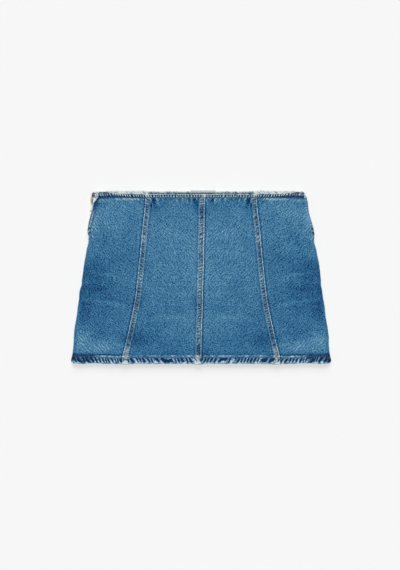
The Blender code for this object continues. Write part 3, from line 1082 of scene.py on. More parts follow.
        # Painted shade: the side edges darken as they roll away from the top.
        tone = work.tone - 0.05 * smooth(0, 60, np.maximum(roll, 0) + 0 * y)
        if self.side != 0 and not self.is_centre():
            fold = WORK.placket(self.side, np.abs(self.side_edge(y)) - np.abs(outer[..., 0]), y)
            tone += fold.tone
            work.bare += fold.bare
        if not self.front:
            rise = np.minimum(rise, 0)
        outer[..., 2] += (1 if self.front else -1) * rise
        return {
            "tone": tone,
            "bare": np.clip(work.bare, 0, 0.9),
            "turns": np.where(y < p.hem_deep, WORK.hem_turns(x, y), turns),
            "ropes": np.clip(work.ropes, 0, 1),
        }

    def on_band(self, inward: Array, y: Array, width: float, centre: bool, high: Array) -> Surface:
        """The band's wear, without its own ticks where it crosses the hem."""
        band = WORK.band(inward, y, width, centre)
        band.ropes *= high
        return band


def side_panel_columns(front: bool) -> list[Column]:
    """Columns of a side panel from its tucked edge to the side seam, out from the middle.

    Args:
        front: Whether it is on the front.

    Returns:
        The columns.
    """
    columns = [Column(0, -PATTERN.tuck, Lie.UNDER), Column(0, -3.5, Lie.UNDER)]
    if front:
        columns += [Column(0, 0.25, Lie.UNDER), Column(0, 0.7)]
    else:
        columns += [Column(0, 0.4), Column(0, 0.7), Column(0, 1)]
    columns += [Column(0, e) for e in (1.4, 2.1, 2.9, 3.9, 5, 6.3)]
    columns += [Column(share, 6.3 * (1 - share)) for share in steps(0, 1, 1 / 56)]
    columns += [Column(1, 0)]
    columns += [Column(1, 0, Lie.FLAT, angle) for angle in (0.01, 12, 24, 36, 47, 58, 68, 77, 84, 90)]
    return columns


def band_offsets(width: float) -> list[float]:
    """Distances in from a folded edge that catch its roll, its rows of stitches and its foot."""
    fold = [0, 0.12, 0.35, 0.8, 1.25, 1.7, 2.15, 2.8, 3.6, 4.5, 5.4]
    foot = [-3, -2.3, -1.7, -1.1, -0.5, 0, 0.4, 0.8, 1.2, 1.6]
    return fold + [width + value for value in foot]


@dataclass
class Skirt:
    """The seven panels of the skirt, front and back."""

    pattern: Pattern = PATTERN
    front_spacing: float = 1.7
    back_spacing: float = 2.4
    front_columns: int = 56
    back_columns: int = 90

    def side_panel(self, side: int, front: bool) -> SkirtPanel:
        """The left or right side panel.

        Args:
            side: -1 for the left, 1 for the right.
            front: Whether it is on the front.

        Returns:
            The panel, ready to build.
        """
        p = self.pattern
        return SkirtPanel(
            name=f"cloth_{face_word(front)}_side_{side_word(side)}",
            front=front,
            side=side,
            left=lambda y: side * p.side_seam(y),
            right=lambda y: side * (p.half_width(y) + outline_wave(y, side) - p.edge_roll),
            columns=[Column(c.share, side * c.offset, c.lie, c.roll) for c in side_panel_columns(front)],
            spacing=self.front_spacing if front else self.back_spacing,
        )

    def front_centre(self, side: int) -> SkirtPanel:
        """The left or right centre panel of the front, from left to right.

        Args:
            side: -1 for the left, 1 for the right.

        Returns:
            The panel, ready to build.
        """
        p = self.pattern
        outer = band_offsets(p.band)
        middle = steps(0, 1, 1 / self.front_columns)
        if side < 0:
            columns = [Column(0, value) for value in outer]
            columns += [Column(share, 11 * (1 - share) - 12 * share) for share in middle]
            columns += [Column(1, -value) for value in band_offsets(p.centre_band)][::-1]
            name, left, right = "cloth_front_centre_left", lambda y: -p.side_seam(y), p.centre_seam
            return SkirtPanel(name, True, side, left, right, columns, self.front_spacing)
        columns = [Column(0, -8.4, Lie.UNDER), Column(0, -3.5, Lie.UNDER), Column(0, 0.25, Lie.UNDER)]
        columns += [Column(0, value) for value in (0.7, 1.4, 2.1, 2.9, 3.9, 5)]
        columns += [Column(share, 5 * (1 - share) - 11 * share) for share in middle]
        columns += [Column(1, -value) for value in outer][::-1]
        name, left, right = "cloth_front_centre_right", p.centre_seam, p.side_seam
        return SkirtPanel(name, True, side, left, right, columns, self.front_spacing)

    def back_centre(self) -> SkirtPanel:
        """The back's one centre panel."""
        p = self.pattern
        outer = band_offsets(p.band)
        columns = [Column(0, value) for value in outer]
        for share in steps(0, 1, 1 / self.back_columns):
            columns.append(Column(share, 11 * (1 - 2 * share)))
        columns += [Column(1, -value) for value in outer][::-1]
        name, left, right = "cloth_back_centre", lambda y: -p.side_seam(y), p.side_seam
        return SkirtPanel(name, False, 0, left, right, columns, self.back_spacing)

    def panels(self) -> list[tuple[SkirtPanel, str, str]]:
        """Every panel, with the solid that it stands for and its finish."""
        return [
            (self.side_panel(-1, True), "front_side_left", "denim_left"),
            (self.front_centre(-1), "front_centre_left", "denim_left"),
            (self.front_centre(1), "front_centre_right", "denim_right"),
            (self.side_panel(1, True), "front_side_right", "denim_right"),
            (self.side_panel(-1, False), "back_side_left", "denim_right"),
            (self.back_centre(), "back_centre", "denim_left"),
            (self.side_panel(1, False), "back_side_right", "denim_left"),
        ]


@dataclass
class Binding:
    """The narrow strip folded over the raw top edge of the front or the back."""

    front: bool
    spacing: float = 0.62

    # Down from the top and depth from the outermost face, on the outside and on the inside.
    SECTION = (
        (7, 0.55, 7, 1),
        (6.93, 0.2, 6.85, 1),
        *((down, 0, down, 1) for down in (6.6, 5.9, 5.2, 4.5, 3.8, 3.1, 2.4)),
        (1.7, 0, 1.75, 1),
        (1.15, 0.06, 1.4, 1),
        (0.7, 0.22, 1.15, 1),
        (0.3, 0.55, 1.02, 1.1),
        (0.06, 1.05, 1, 1.3),
        (0, 1.6, 1, 1.6),
        (0, 2.1, 1, 2),
        (0.08, 2.6, 1, 2.25),
        (0.3, 3.05, 1.05, 2.5),
        (0.7, 3.4, 1.2, 2.6),
        (1.3, 3.58, 1.5, 2.6),
        *((down, 3.6, down, 2.6) for down in (2.3, 3.4, 4.5, 5.8, 7)),
    )

    def lift(self, x: Array, down: Array) -> Array:
        """How far the plies under it raise the binding: at each seam's lap.

        Args:
            x: Across the garment.
            down: Distance below the top edge.

        Returns:
            Heights in millimetres.
        """
        p = PATTERN
        seam = p.side_seam(290 - down)
        span = abs(x)
        if not self.front:
            return p.lap * (1 - smooth(1.3, 2.9, span - seam)) * smooth(-10.6, -9, span - seam)
        side = (1 - smooth(0.2, 1.9, span - seam)) * (1 - smooth(0.4, 2.4, seam - span - p.band))
        inward = p.centre_seam(290 - down) - x
        centre = smooth(-1.9, -0.2, inward)
        centre = centre * (1 - smooth(0.4, 2.4, inward - p.centre_band))
        return p.lap * np.maximum(side, centre)

    def deep(self, x: Array, down: Array) -> Array:
        """Distance below the top, once the section is drawn out to the binding's level lower edge."""
        if not self.front:
            return down + 0 * x
        reach = PATTERN.front_top(x) - PATTERN.binding_foot
        return np.minimum(down, 1.8) + np.maximum(down - 1.8, 0) * (reach - 1.8) / 5.2

    def wear(self, x: Array, down: Array, depth: Array) -> Surface:
        """The ticks between the binding's stitches, its rubbed fold and its worn ends, with painted
        shade on its lower part at the sides and down the back's inside.

        Args:
            x: Across the garment.
            down: Distance below the top edge.
            depth: Depth below the outermost face.

        Returns:
            Its rise and wear.
        """
        p = PATTERN
        span = abs(x)
        outside = np.where(depth < 1.4, 1, 0)
        top = p.front_top(x) if self.front else p.back_top(x)
        y = top - down
        level = y if self.front else y - 4.4
        outer = smooth(88, 104, span)
        end = smooth(118, 154, span)
        window = near(level, 284.9 - 0.3 * outer + 3.2 * end, 1.35 + 0.3 * outer) * outside
        groove = near(level, 282.5, 0.8) * outside
        middle = 1 - smooth(86, 104, span)
        corner = smooth(162, 168, span)
        past = 1 - smooth(173, 175.5, span)
        fold = near(down, 0.3, 1 - 0.15 * middle) * (0.75 + 0.25 * WORK.fine(x, 3))
        seam = near(span - p.side_seam(287), -1.6, 4.4)
        centre = near(x - p.centre_seam(287), -2.6, 4.2)
        lump = np.maximum(seam, centre)
        turns = self.turns(x, y)
        rise = 0.2 * WORK.rope(turns) * window - 0.16 * groove
        tip = smooth(150, 160, span) * (1 - 0.8 * corner)
        under = middle * (near(level, 285.7, 0.75) * (1 - lump) - 0.1 * near(level, 287.4, 0.8))
        # Painted shade on the binding's lower part towards the sides.
        under = under + (0.5 - 0.24 * tip) * outer * past * near(level, 283.2 + tip, 1.2)
        tone = (0.22 + 0.22 * middle) * fold * (1 - 0.7 * tip)
        tone -= 0.55 * outer * window * (1 - 0.85 * corner) + under * outside
        tone -= (0.2 - 0.08 * middle) * groove * past
        tone -= tip * (0.46 * near(level, 290.6, 0.9) + 0.14 * near(level, 289.2, 1))
        tone += 0.05 * WORK.quick(x, down)
        tone -= 0.06 * np.where(self.front, smooth(1.8, 4, down), 0) * outside
        tone += (0.32 * lump + 0.2 * centre) * (1 - 0.7 * groove)
        tone += 0.36 * corner * smooth(284, 287, level)
        curve = smooth(282, 284, level) * (1 - smooth(290, 291, level))
        tone -= 0.5 * near(span, 173.2, 1.1) * curve
        tone += 0.3 * (1 - past) * outside - 0.2 * groove * smooth(156, 162, span) * past
        bare = (0.5 + 0.35 * middle) * fold + 0.7 * lump * smooth(281, 284, level)
        bare += 0.5 * np.maximum(corner * smooth(283, 287.5, level), (1 - past) * outside)
        bare += (0.45 - 0.25 * outer) * window + 0.3 * groove * middle
        crown = outer * smooth(285.5, 287, level) * outside
        tone -= 0.26 * crown
        bare += 0.2 * crown
        if not self.front:
            inside = smooth(1.6, 2.6, depth)
            # The back's inside is pale, and painted shade darkens it below its top, most in the middle,
            # where it sinks behind the front.
            pale = 0.3 + 0.14 * outer - (0.1 + 0.4 * middle) * smooth(1.4, 3.6, down)
            tone += inside * (pale + 0.08 * WORK.fine(x, down))
            bare += inside * 0.9
        ropes = (1.05 + 0.25 * outer) * window * (1 - 0.6 * lump) * (1 - 0.75 * corner)
        return Surface(rise, tone, np.clip(bare, 0, 0.95), ropes)

    def turns(self, x: Array, y: Array) -> Array:
        """Turns of the ticks along the binding, which lean like the hem's."""
        lean = 9 + 24 * (1 - smooth(86, 104, abs(x)))
        return abs(x) / 4.25 - (y - 284) / lean + 0.2 * WORK.jitter(x, 7)

    def layer(self, x_share: Array, roll: Array, down: Array, depth: Array) -> Array:
        """Points of one of its surfaces, rolled at the closed side.

        Args:
            x_share: Share of the width at each station.
            roll: Roll angle of each station.
            down: Distance below the top for each point of the section.
            depth: Depth below the outermost face for each point of the section.

        Returns:
            Section by stations by 3.
        """
        p = PATTERN
        high = 292.8 - down
        rough = (p.waist_half - 2) * (2 * x_share - 1)
        down = self.deep(rough, down)
        left = -(p.half_width(290) + (4.8 if self.front else 3.2)) + 0 * down
        right = p.half_width(high) - p.edge_roll - 1.4 + 0.5 * down
        x = left + (right - left) * x_share
        turn = np.radians(roll)
        x = x + (p.edge_roll - depth) * np.sin(turn)
        top = p.front_top(x) if self.front else p.back_top(x)
        lifted = smooth(2.4, 1, depth) if self.front else smooth(1.2, 2.6, depth)
        lift = self.lift(x, down) * lifted
        if self.front:
            z = p.face_waist - depth + lift
            z = p.seam_front + (z - p.seam_front) * np.cos(turn)
        else:
            z = p.seam_back + (depth + lift - p.seam_back) * np.cos(turn)
        return stacked(x, top - down, z)

    def build(self) -> Piece:
        """Makes the binding's mesh.

        Returns:
            The binding.
        """
        section = np.array(self.SECTION)
        count = int(2 * PATTERN.waist_half / self.spacing)
        share = np.concatenate([np.linspace(0, 1, count), np.ones(9)])[None, :]
        angles = (8, 18, 30, 42, 54, 66, 76, 84, 90)
        roll = np.concatenate([np.zeros(count), angles])[None, :]
        down, depth = section[:, 0:1], section[:, 1:2]
        outer = self.layer(share, roll, down, depth)
        inner = self.layer(share, roll, section[:, 2:3], section[:, 3:4])
        top = PATTERN.front_top(outer[..., 0]) if self.front else PATTERN.back_top(outer[..., 0])
        work = self.wear(outer[..., 0], top - outer[..., 1], depth + 0 * share)
        rise = np.where(roll > 20, 0, work.rise)
        outer[..., 2] += rise if self.front else np.maximum(-rise, 0)
        zero = np.zeros_like(work.tone)
        turns = self.turns(outer[..., 0], outer[..., 1])
        pairs = {
            "tone": (work.tone, zero),
            "bare": (work.bare, zero),
            "turns": (turns, turns),
            "ropes": (work.ropes, zero),
            "reverse": (zero, zero + 1),
        }
        turn = 1 if self.front else -1
        name = f"cloth_waist_binding_{face_word(self.front)}"
        return make_wall(name, *(outer, inner)[::turn], {k: pair[::turn] for k, pair in pairs.items()})


@dataclass
class ShortsQuarter:
    """A quarter of the plain shorts inside: one leg, front or back."""

    side: int
    front: bool
    leg_hem: float = 28.0
    crotch: float = 80.0
    leg_gap: float = 12.0
    below_top: float = 9.5
    seam_y: float = 279.0
    set_in: float = 13.4
    ease: float = 7.0
    spacing: float = 3.5

    def outer_edge(self, y: Array) -> Array:
        """Middle to the side seam."""
        p = PATTERN
        hip = p.half_width(p.hip_y) - self.ease
        width = np.where(y < p.hip_y, hip + 0.055 * (p.hip_y - y), p.half_width(y) - self.ease)
        if self.side < 0:
            share = np.clip((y - 160) / 10, 0, 1)
            width = width + (p.half_width(y) - self.set_in - width) * share
        return width

    def build(self) -> Piece:
        """Makes the leg's panel, with a turned hem marked by its stitch line.

        Returns:
            The panel.
        """
        p = PATTERN
        top = p.front_top if self.front else p.back_top
        base = 3.9 if self.front else 2.6
        fine = [self.leg_hem + d for d in (0, 0.3, 1, 3, 6, 8.6, 9.2, 9.8, 10.4, 11.5)]
        heights = fine + steps(40, self.seam_y, self.spacing) + [self.seam_y]
        level = np.array(heights)[:, None]
        share = np.linspace(0, 1, 54)[None, :]
        below = np.clip((self.crotch - level) / (self.crotch - self.leg_hem), 0, 1)
        inside = 0.15 + self.leg_gap * below
        x = self.side * (inside + (self.outer_edge(level) - inside) * share)
        last = smooth(240, self.seam_y, level)
        y = level + (top(x) - self.below_top - self.seam_y) * last
        thick = 0.95 - 0.35 * near(y, self.leg_hem, 0.35) - 0.25 * near(y, self.leg_hem + 9.2, 0.5)
        thick = thick - 0.12 - 0.04 * WORK.fine(x, y)
        low = stacked(x, y, base + 0.02)
        high = stacked(x, y, base + thick)
        order = slice(None, None, -1) if self.side < 0 else slice(None)
        tone = 0.15 * WORK.tone_slow(x, y)
        name = f"cotton_shorts_{face_word(self.front)}_{side_word(self.side)}"
        values = {"tone": (tone[:, order], tone[:, order])}
        return make_wall(name, high[:, order], low[:, order], values)


@dataclass
class Trims:
    """The small flat woven pieces: the zip's tapes and the bare label."""

    label_left: float = -17.9
    label_right: float = 24.7
    label_foot: float = 281.5
    tape_front_low: float = 3.9
    tape_back_low: float = 1.3

    def tape(self, front: bool) -> Piece:
        """One half of the zip's tape, from under the panel's edge to the teeth.

        Args:
            front: Whether it is sewn to the front.

        Returns:
            The tape.
        """
        p = PATTERN
        low = self.tape_front_low if front else self.tape_back_low
        heights = steps(177.9, 281.3, 1.6)
        ends = [281.4, 282.3, 283.1] + ([284.5, 286.2, 287.8, 289.4] if front else [])
        y = np.array([178] + heights + ends)[:, None]
        outside = p.chain_x(y) + np.where(y > 281.2, 2.75, 1.15)
        inside = -p.half_width(y) + np.where(y > 286, 6, 12)
        share = np.array([0, 0.03, 0.08, 0.15, 0.25, 0.4, 0.55, 0.7, 0.85, 1])[None, :]
        x = outside + (inside - outside) * share
        cord = 0.12 * near(share, 0.1, 0.07)
        high = stacked(x, y, low + 0.78 + cord)
        under = stacked(x, y, low + 0.05)
        tone = 0.1 * WORK.quick(x, y)
        name = f"woven_zip_tape_{face_word(front)}"
        return make_wall(name, high, under, {"tone": (tone, tone)})

    def label(self) -> Piece:
        """The bare woven label behind the neck of the waist, folded under at its ends, darkened below
        its top as painted shadow.

        Returns:
            The label.
        """
        x = np.array([-17.9, -17.8, -17.4, -16.6] + steps(-16.6, 23.4, 1.3) + [23.4, 24.2, 24.6, 24.7])
        y = np.array([281.5, 281.7, 282.4] + steps(282.4, 293.6, 1.1) + [293.6, 294.2, 294.4])
        x, y = np.meshgrid(x, y)
        ends = np.minimum(x - self.label_left, self.label_right - x)
        edge = np.minimum(ends, np.minimum(y - self.label_foot, PATTERN.label_top - y))
        round_off = 0.3 * np.exp(-edge / 0.35)
        border = 0.12 * near(edge, 1.5, 0.6)
        high = stacked(x, y, 4.84 - round_off - border)
        low = stacked(x, y, 3.92 + round_off)
        # Painted shadow: the label darkens below its top, most away from its edges, where it sinks
        # behind the front's waist.
        tone = 0.06 * WORK.quick(x, y) + 0.3 - 0.5 * (1 - smooth(290.2, 292.8, y))
        tone -= 0.7 * (1 - smooth(288.9, 290.7, y)) * smooth(0.4, 2, edge)
        return make_wall("woven_label", high, low, {"tone": (tone, tone)})


@dataclass(frozen=True)
class ZipSizes:
    """The sizes of the zip's hard pieces, in the slider's own directions: out, up and across."""

    slider_y: float = 286.5
    slider_turn: float = 12.0
    middle_z: float = 3.1
    body_out: float = 2.3
    body_up: float = 4.5
    body_across: float = 2.6
    plate: float = 0.95
    rail: float = 0.62
    bridge_low: float = 2.05
    bridge_high: float = 2.5
    bridge_out: float = 2.1
    tab_out: float = 3.45
    tab_up: float = 0.8
    tab_low: float = -13.2
    tab_shoulder: float = -4.3
    tab_half: float = 2.2
    tab_thick: float = 1.35
    tab_twist: float = 32.0
    tab_lean: float = 8.0
    arm_in: float = 0.98
    arm_out: float = 2.15
    bar_radius: float = 0.43
    tooth_pitch: float = 2.5
    tooth_tall: float = 1.05
    tooth_wide: float = 1.45
    tooth_half_long: float = 1.05
    first_tooth_y: float = 182.0
    last_tooth_y: float = 280.6
    upper_teeth_z: float = 3.83
    lower_teeth_z: float = 2.37
    stop_y: float = 179.0


class SideZip:
    """The closed metal zip in the left side: its teeth, bottom stop, slider and pull tab."""

    def __init__(self, sizes: ZipSizes) -> None:
        """Keeps the sizes."""
        self.sizes = sizes

    def block(self, name: str, low: Sequence[float], high: Sequence[float], bevel: float) -> Piece:
        """A bevelled block between two corners, in millimetres.

        Args:
            name: The object's name.
            low: Lowest corner.
            high: Highest corner.
            bevel: Width of its bevels.

        Returns:
            The block, with its sizes in its mesh.
        """
        bpy.ops.mesh.primitive_cube_add(size=1, location=ORIGIN)
        item = bpy.context.active_object
        item.name = name
        size = [b - a for a, b in zip(low, high)]
        middle = [(a + b) / 2 for a, b in zip(low, high)]
        with editing():
            bpy.ops.transform.resize(value=size, center_override=ORIGIN)
            bpy.ops.transform.translate(value=middle)
            if bevel > 0:
                bpy.ops.mesh.bevel(offset=bevel, segments=2, affect="EDGES")
        return item

    def narrow(self, item: Piece, below: float, share: float) -> None:
        """Narrows the points of a piece that lie under a height, across.

        Args:
            item: The piece.
            below: The height.
            share: How wide they end up.
        """
        choose(item)
        with editing("DESELECT"):
            bpy.ops.mesh.select_mode(type="VERT")
            mesh = bmesh.from_edit_mesh(item.data)
            for vertex in mesh.verts:
                vertex.select = vertex.co.y < below
            mesh.select_flush_mode()
            bmesh.update_edit_mesh(item.data)
            bpy.ops.transform.resize(value=(1, 1, share), center_override=ORIGIN)

    def twist(self, tab: Piece) -> None:
        """Turns the tab's plate a little about its length, and leans it back over the teeth."""
        s = self.sizes
        lean = math.radians(s.tab_lean)
        for vertex in tab.data.vertices:
            out, up, across = vertex.co
            turn = math.radians(s.tab_twist) * float(smooth(0, 1, up / s.tab_shoulder))
            out -= s.tab_out
            up -= s.tab_up
            turned = out * math.cos(turn) + across * math.sin(turn)
            vertex.co.x = s.tab_out + turned * math.cos(lean) + up * math.sin(lean)
            vertex.co.y = s.tab_up + up * math.cos(lean) - turned * math.sin(lean)
            vertex.co.z = across * math.cos(turn) - out * math.sin(turn)

    def join(self, name: str, parts: Sequence[Piece]) -> Piece:
        """Joins parts into one piece with a name."""
        choose(parts[0])
        for part in parts:
            part.select_set(True)
        bpy.ops.object.join()
        item = bpy.context.active_object
        item.name = name
        return item

    def settle(self, item: Piece) -> Piece:
        """Turns a piece from the slider's own directions to where the slider stands.

        Args:
            item: The piece.

        Returns:
            The same piece, in its place.
        """
        s = self.sizes
        turn = math.radians(s.slider_turn)
        middle = float(PATTERN.chain_x(s.slider_y))
        out, up, across = points_of(item).T
        x = middle - out * math.cos(turn) + up * math.sin(turn)
        y = s.slider_y + out * math.sin(turn) + up * math.cos(turn) - PATTERN.label_top / 2
        move_points(item, stacked(x, y, s.middle_z - across))
        return item

    def slider(self) -> Piece:
        """The slider: two plates, side rails, the wedge between them and the bridge over the tab.

        Returns:
            The slider.
        """
        s = self.sizes
        parts = []
        for name, side in (("slider_back_plate", -1), ("slider_front_plate", 1)):
            low, high = sorted((side * (s.body_out - s.plate), side * s.body_out))
            plate = self.block(
                name, (low, -s.body_up, -s.body_across), (high, s.body_up, s.body_across), 0.32
            )
            self.narrow(plate, -s.body_up + 1, 0.72)
            parts.append(plate)
        for side in (-1, 1):
            low, high = sorted((side * (s.body_across - s.rail), side * s.body_across))
            parts.append(self.block("slider_rail", (-1.5, -3.2, low), (1.5, 1.2, high), 0.15))
        parts.append(self.block("slider_wedge", (-1.5, 2.4, -0.7), (1.5, 4.3, 0.7), 0.2))
        parts.append(self.bridge())
        return self.settle(self.join("zip_slider_brass", parts))

    def bridge(self) -> Piece:
        """The small arch that holds the tab, spun from a square end.

        Returns:
            The arch.
        """
        s = self.sizes
        low, high = s.bridge_low, s.bridge_high
        bpy.ops.mesh.primitive_plane_add(size=1, location=ORIGIN)
        item = bpy.context.active_object
        item.name = "slider_bridge"
        with editing():
            for axis in "XZ":
                bpy.ops.transform.rotate(value=math.pi / 2, orient_axis=axis, center_override=ORIGIN)
            bpy.ops.transform.resize(value=(1, high - low, 1.5), center_override=ORIGIN)
            bpy.ops.transform.translate(value=(s.bridge_out, (low + high) / 2, 0))
            middle = (s.bridge_out, 0, 0)
            bpy.ops.mesh.spin(steps=10, angle=math.pi, center=middle, axis=(0, 0, 1))
            bpy.ops.mesh.select_all(action="SELECT")
            bpy.ops.mesh.normals_make_consistent(inside=False)
        return item

    def tab(self) -> Piece:
        """The pull tab: a tapered plate with a sunk panel, two arms, and the bar under the bridge.

        Returns:
            The tab.
        """
        s = self.sizes
        under, over = s.tab_out - s.tab_thick / 2, s.tab_out + s.tab_thick / 2
        plate = self.block(
            "tab_plate", (under, s.tab_low, -s.tab_half), (over, s.tab_shoulder, s.tab_half), 0
        )
        choose(plate)
        with editing("DESELECT"):
            bpy.ops.mesh.select_mode(type="FACE")
            mesh = bmesh.from_edit_mesh(plate.data)
            for face in mesh.faces:
                face.select = abs(face.normal.x) > 0.9
            bmesh.update_edit_mesh(plate.data)
            bpy.ops.mesh.inset(thickness=0.8, depth=0, use_individual=True)
            bpy.ops.mesh.inset(thickness=0.15, depth=-0.22, use_individual=True)
        self.narrow(plate, -8, 0.62)
        modifier = plate.modifiers.new("round", "BEVEL")
        modifier.width = 0.22
        modifier.segments = 2
        modifier.limit_method = "ANGLE"
        choose(plate)
        bpy.ops.object.modifier_apply(modifier="round")
        parts = [plate]
        for side in (-1, 1):
            low, high = sorted((side * s.arm_in, side * s.arm_out))
            corners = (under + 0.03, s.tab_shoulder - 0.4, low), (over - 0.03, 0.6, high)
            parts.append(self.block("tab_arm", *corners, 0.2))
        bpy.ops.mesh.primitive_cylinder_add(
            vertices=12, radius=s.bar_radius, depth=2 * s.arm_out, location=ORIGIN
        )
        parts.append(bpy.context.active_object)
        with editing():
            bpy.ops.transform.translate(value=(s.tab_out, s.tab_up, 0))
        tab = self.join("zip_pull_tab_brass", parts)
        self.twist(tab)
        return self.settle(tab)

    def teeth(self) -> Piece:
        """Both halves' teeth, copied from one tooth and meshed alternately up the chain.

        Returns:
            The teeth as one piece.
        """
        s = self.sizes
        half = (s.tooth_wide / 2, s.tooth_tall / 2, s.tooth_half_long)
        tooth = self.block("zip_tooth", [-size for size in half], half, 0.2)
        points = points_of(tooth)
        faces = [tuple(polygon.vertices) for polygon in tooth.data.polygons]
        bpy.data.objects.remove(tooth)
        copies: list[Array] = []
        tones: list[float] = []
        joined: list[tuple[int, ...]] = []
        y = s.first_tooth_y
        while y < s.last_tooth_y:
            lean = float(PATTERN.chain_x(y + 1) - PATTERN.chain_x(y - 1)) / 2
            high = len(copies) % 2 == 0
            local = points.copy()
            local[:, 0] *= np.where((local[:, 2] > 0) == high, 1, 0.72)
            near_slider = float(smooth(268, 274, y))
            local[:, 0] = local[:, 0] * (1 + 0.8 * near_slider) + 0.6 * near_slider
            middle_z = s.upper_teeth_z if high else s.lower_teeth_z
            x = float(PATTERN.chain_x(y)) + local[:, 0] + lean * local[:, 1]
            placed = stacked(x, y + local[:, 1] - lean * local[:, 0], middle_z + local[:, 2])
            joined += [tuple(index + len(copies) * len(points) for index in face) for face in faces]
            copies.append(placed)
            # The teeth near the slider are darkened, partly as darker brass and partly as painted shadow
            # under the tab; the teeth at about 259 mm are darker too.
            tone = 0.45 - 1.4 * float(smooth(267, 273, y)) - 1.3 * float(near(y, 259.4, 1.6))
            tones += [tone] * len(points)
            y += s.tooth_pitch / 2
        item = write_mesh("zip_teeth_brass", np.concatenate(copies), joined, {"tone": np.array(tones)})
        shade(item, METAL_ANGLE)
        return item

    def stop(self) -> Piece:
        """The stop clamped under the lowest teeth."""
        item = self.block("zip_stop_brass", (-1, -1.4, -1.8), (1, 1.4, 1.8), 0.35)
        s = self.sizes
        place = (float(PATTERN.chain_x(s.stop_y)), s.stop_y - PATTERN.label_top / 2, s.middle_z)
        move_points(item, points_of(item) + place)
        return item


class Needle:
    """Sews rows of single stitches on cloth that is already made, copied from one stitch."""

    LONG = 2.5
    THICK = 0.52

    def __init__(self, cloth: Sequence[Piece], front: bool) -> None:
        """Takes the cloth to sew on.

        Args:
            cloth: The pieces of cloth that show on this face.
            front: Whether the face looks up.
        """
        self.front = front
        points: list[Array] = []
        faces: list[tuple[int, ...]] = []
        for item in cloth:
            start = sum(len(p) for p in points)
            points.append(points_of(item) * 1000)
            faces += [tuple(i + start for i in polygon.vertices) for polygon in item.data.polygons]
        self.tree = BVHTree.FromPolygons(np.concatenate(points).tolist(), faces)
        bpy.ops.mesh.primitive_uv_sphere_add(segments=6, ring_count=4, radius=0.5, location=ORIGIN)
        ball = bpy.context.active_object
        self.unit = points_of(ball)[:, (2, 0, 1)]
        self.unit_faces = [tuple(polygon.vertices) for polygon in ball.data.polygons]
        bpy.data.objects.remove(ball)
        self.copies: list[Array] = []
        self.tones: list[float] = []
        self.draw = np.random.RandomState(5)

    def height(self, x: float, y: float) -> float | None:
        """Height of the cloth's outer face at x and y, if there is cloth."""
        way = -1 if self.front else 1
        place = Vector((x, y - PATTERN.label_top / 2, -60 * way))
        hit = self.tree.ray_cast(place, Vector((0, 0, way)))[0]
        return None if hit is None else hit.z

    def stitch(
        self, start: tuple[float, float], end: tuple[float, float], tone: float, thick: float = THICK
    ) -> None:
        """Sews one stitch between two places, unless the cloth steps up between them.

        Args:
            start: X and y of one end.
            end: X and y of the other.
            tone: How much paler than the plain thread it is.
            thick: The thread's thickness.
        """
        heights = (self.height(*start), self.height(*end))
        if None in heights or abs(heights[0] - heights[1]) > 2.4:
            return
        a = np.array((start[0], start[1], heights[0]))
        b = np.array((end[0], end[1], heights[1]))
        ahead = b - a
        length = float(np.linalg.norm(ahead))
        ahead /= length
        across = np.array((-ahead[1], ahead[0], 0))
        across /= np.linalg.norm(across)
        up = np.cross(ahead, across)
        size = np.array((length * 1.08, thick, thick * 0.85))
        local = self.unit * size
        placed = local[:, 0:1] * ahead + local[:, 1:2] * across + local[:, 2:3] * up
        self.copies.append(placed + (a + b) / 2)
        self.tones.append(tone)

    def row(
        self,
        line: Callable[[float], tuple[float, float]],
        start: float,
        end: float,
        pitch: float = 3.3,
        tone: float = 0.0,
    ) -> None:
        """Sews a row.

        Args:
            line: Gives x and y for each distance along the row.
            start: Where the row starts.
            end: Where it ends.
            pitch: From one stitch to the next.
            tone: How much paler than the plain thread it is.
        """
        count = int((end - start) / pitch)
        for i in range(count):
            at = start + (i + 0.5 + self.draw.uniform(-0.05, 0.05)) * pitch
            half = self.LONG / 2 * pitch / 3.3
            self.stitch(line(at - half), line(at + half), tone + self.draw.uniform(-0.12, 0.12))

    def bar(self, x: float, y: float, half: float, lean: float, tone: float) -> None:
        """Sews a short bartack of close stitches side by side."""
        for i in range(4):
            at = y - 1 + 0.66 * i
            marks = [(x + half * k, at + lean * k) for k in (-1, -0.4, 0.3, 1)]
            for start, end in zip(marks, marks[1:]):
                self.stitch(start, end, tone + self.draw.uniform(-0.1, 0.1), 1.2)

    def finish(self, name: str) -> Piece:
        """Joins all the stitches into one piece.

        Args:
            name: The piece's name.

        Returns:
            The stitches.
        """
        count = len(self.unit)
        faces = [
            tuple(index + i * count for index in face)
            for i in range(len(self.copies))
            for face in self.unit_faces
        ]
        points = np.concatenate(self.copies)
        if not self.front:
            points[:, 2] = np.maximum(points[:, 2], 0)
        item = write_mesh(name, points, faces, {"tone": np.repeat(self.tones, count)})
        LOG.info("%s: %d stitches", name, len(self.copies))
        return item


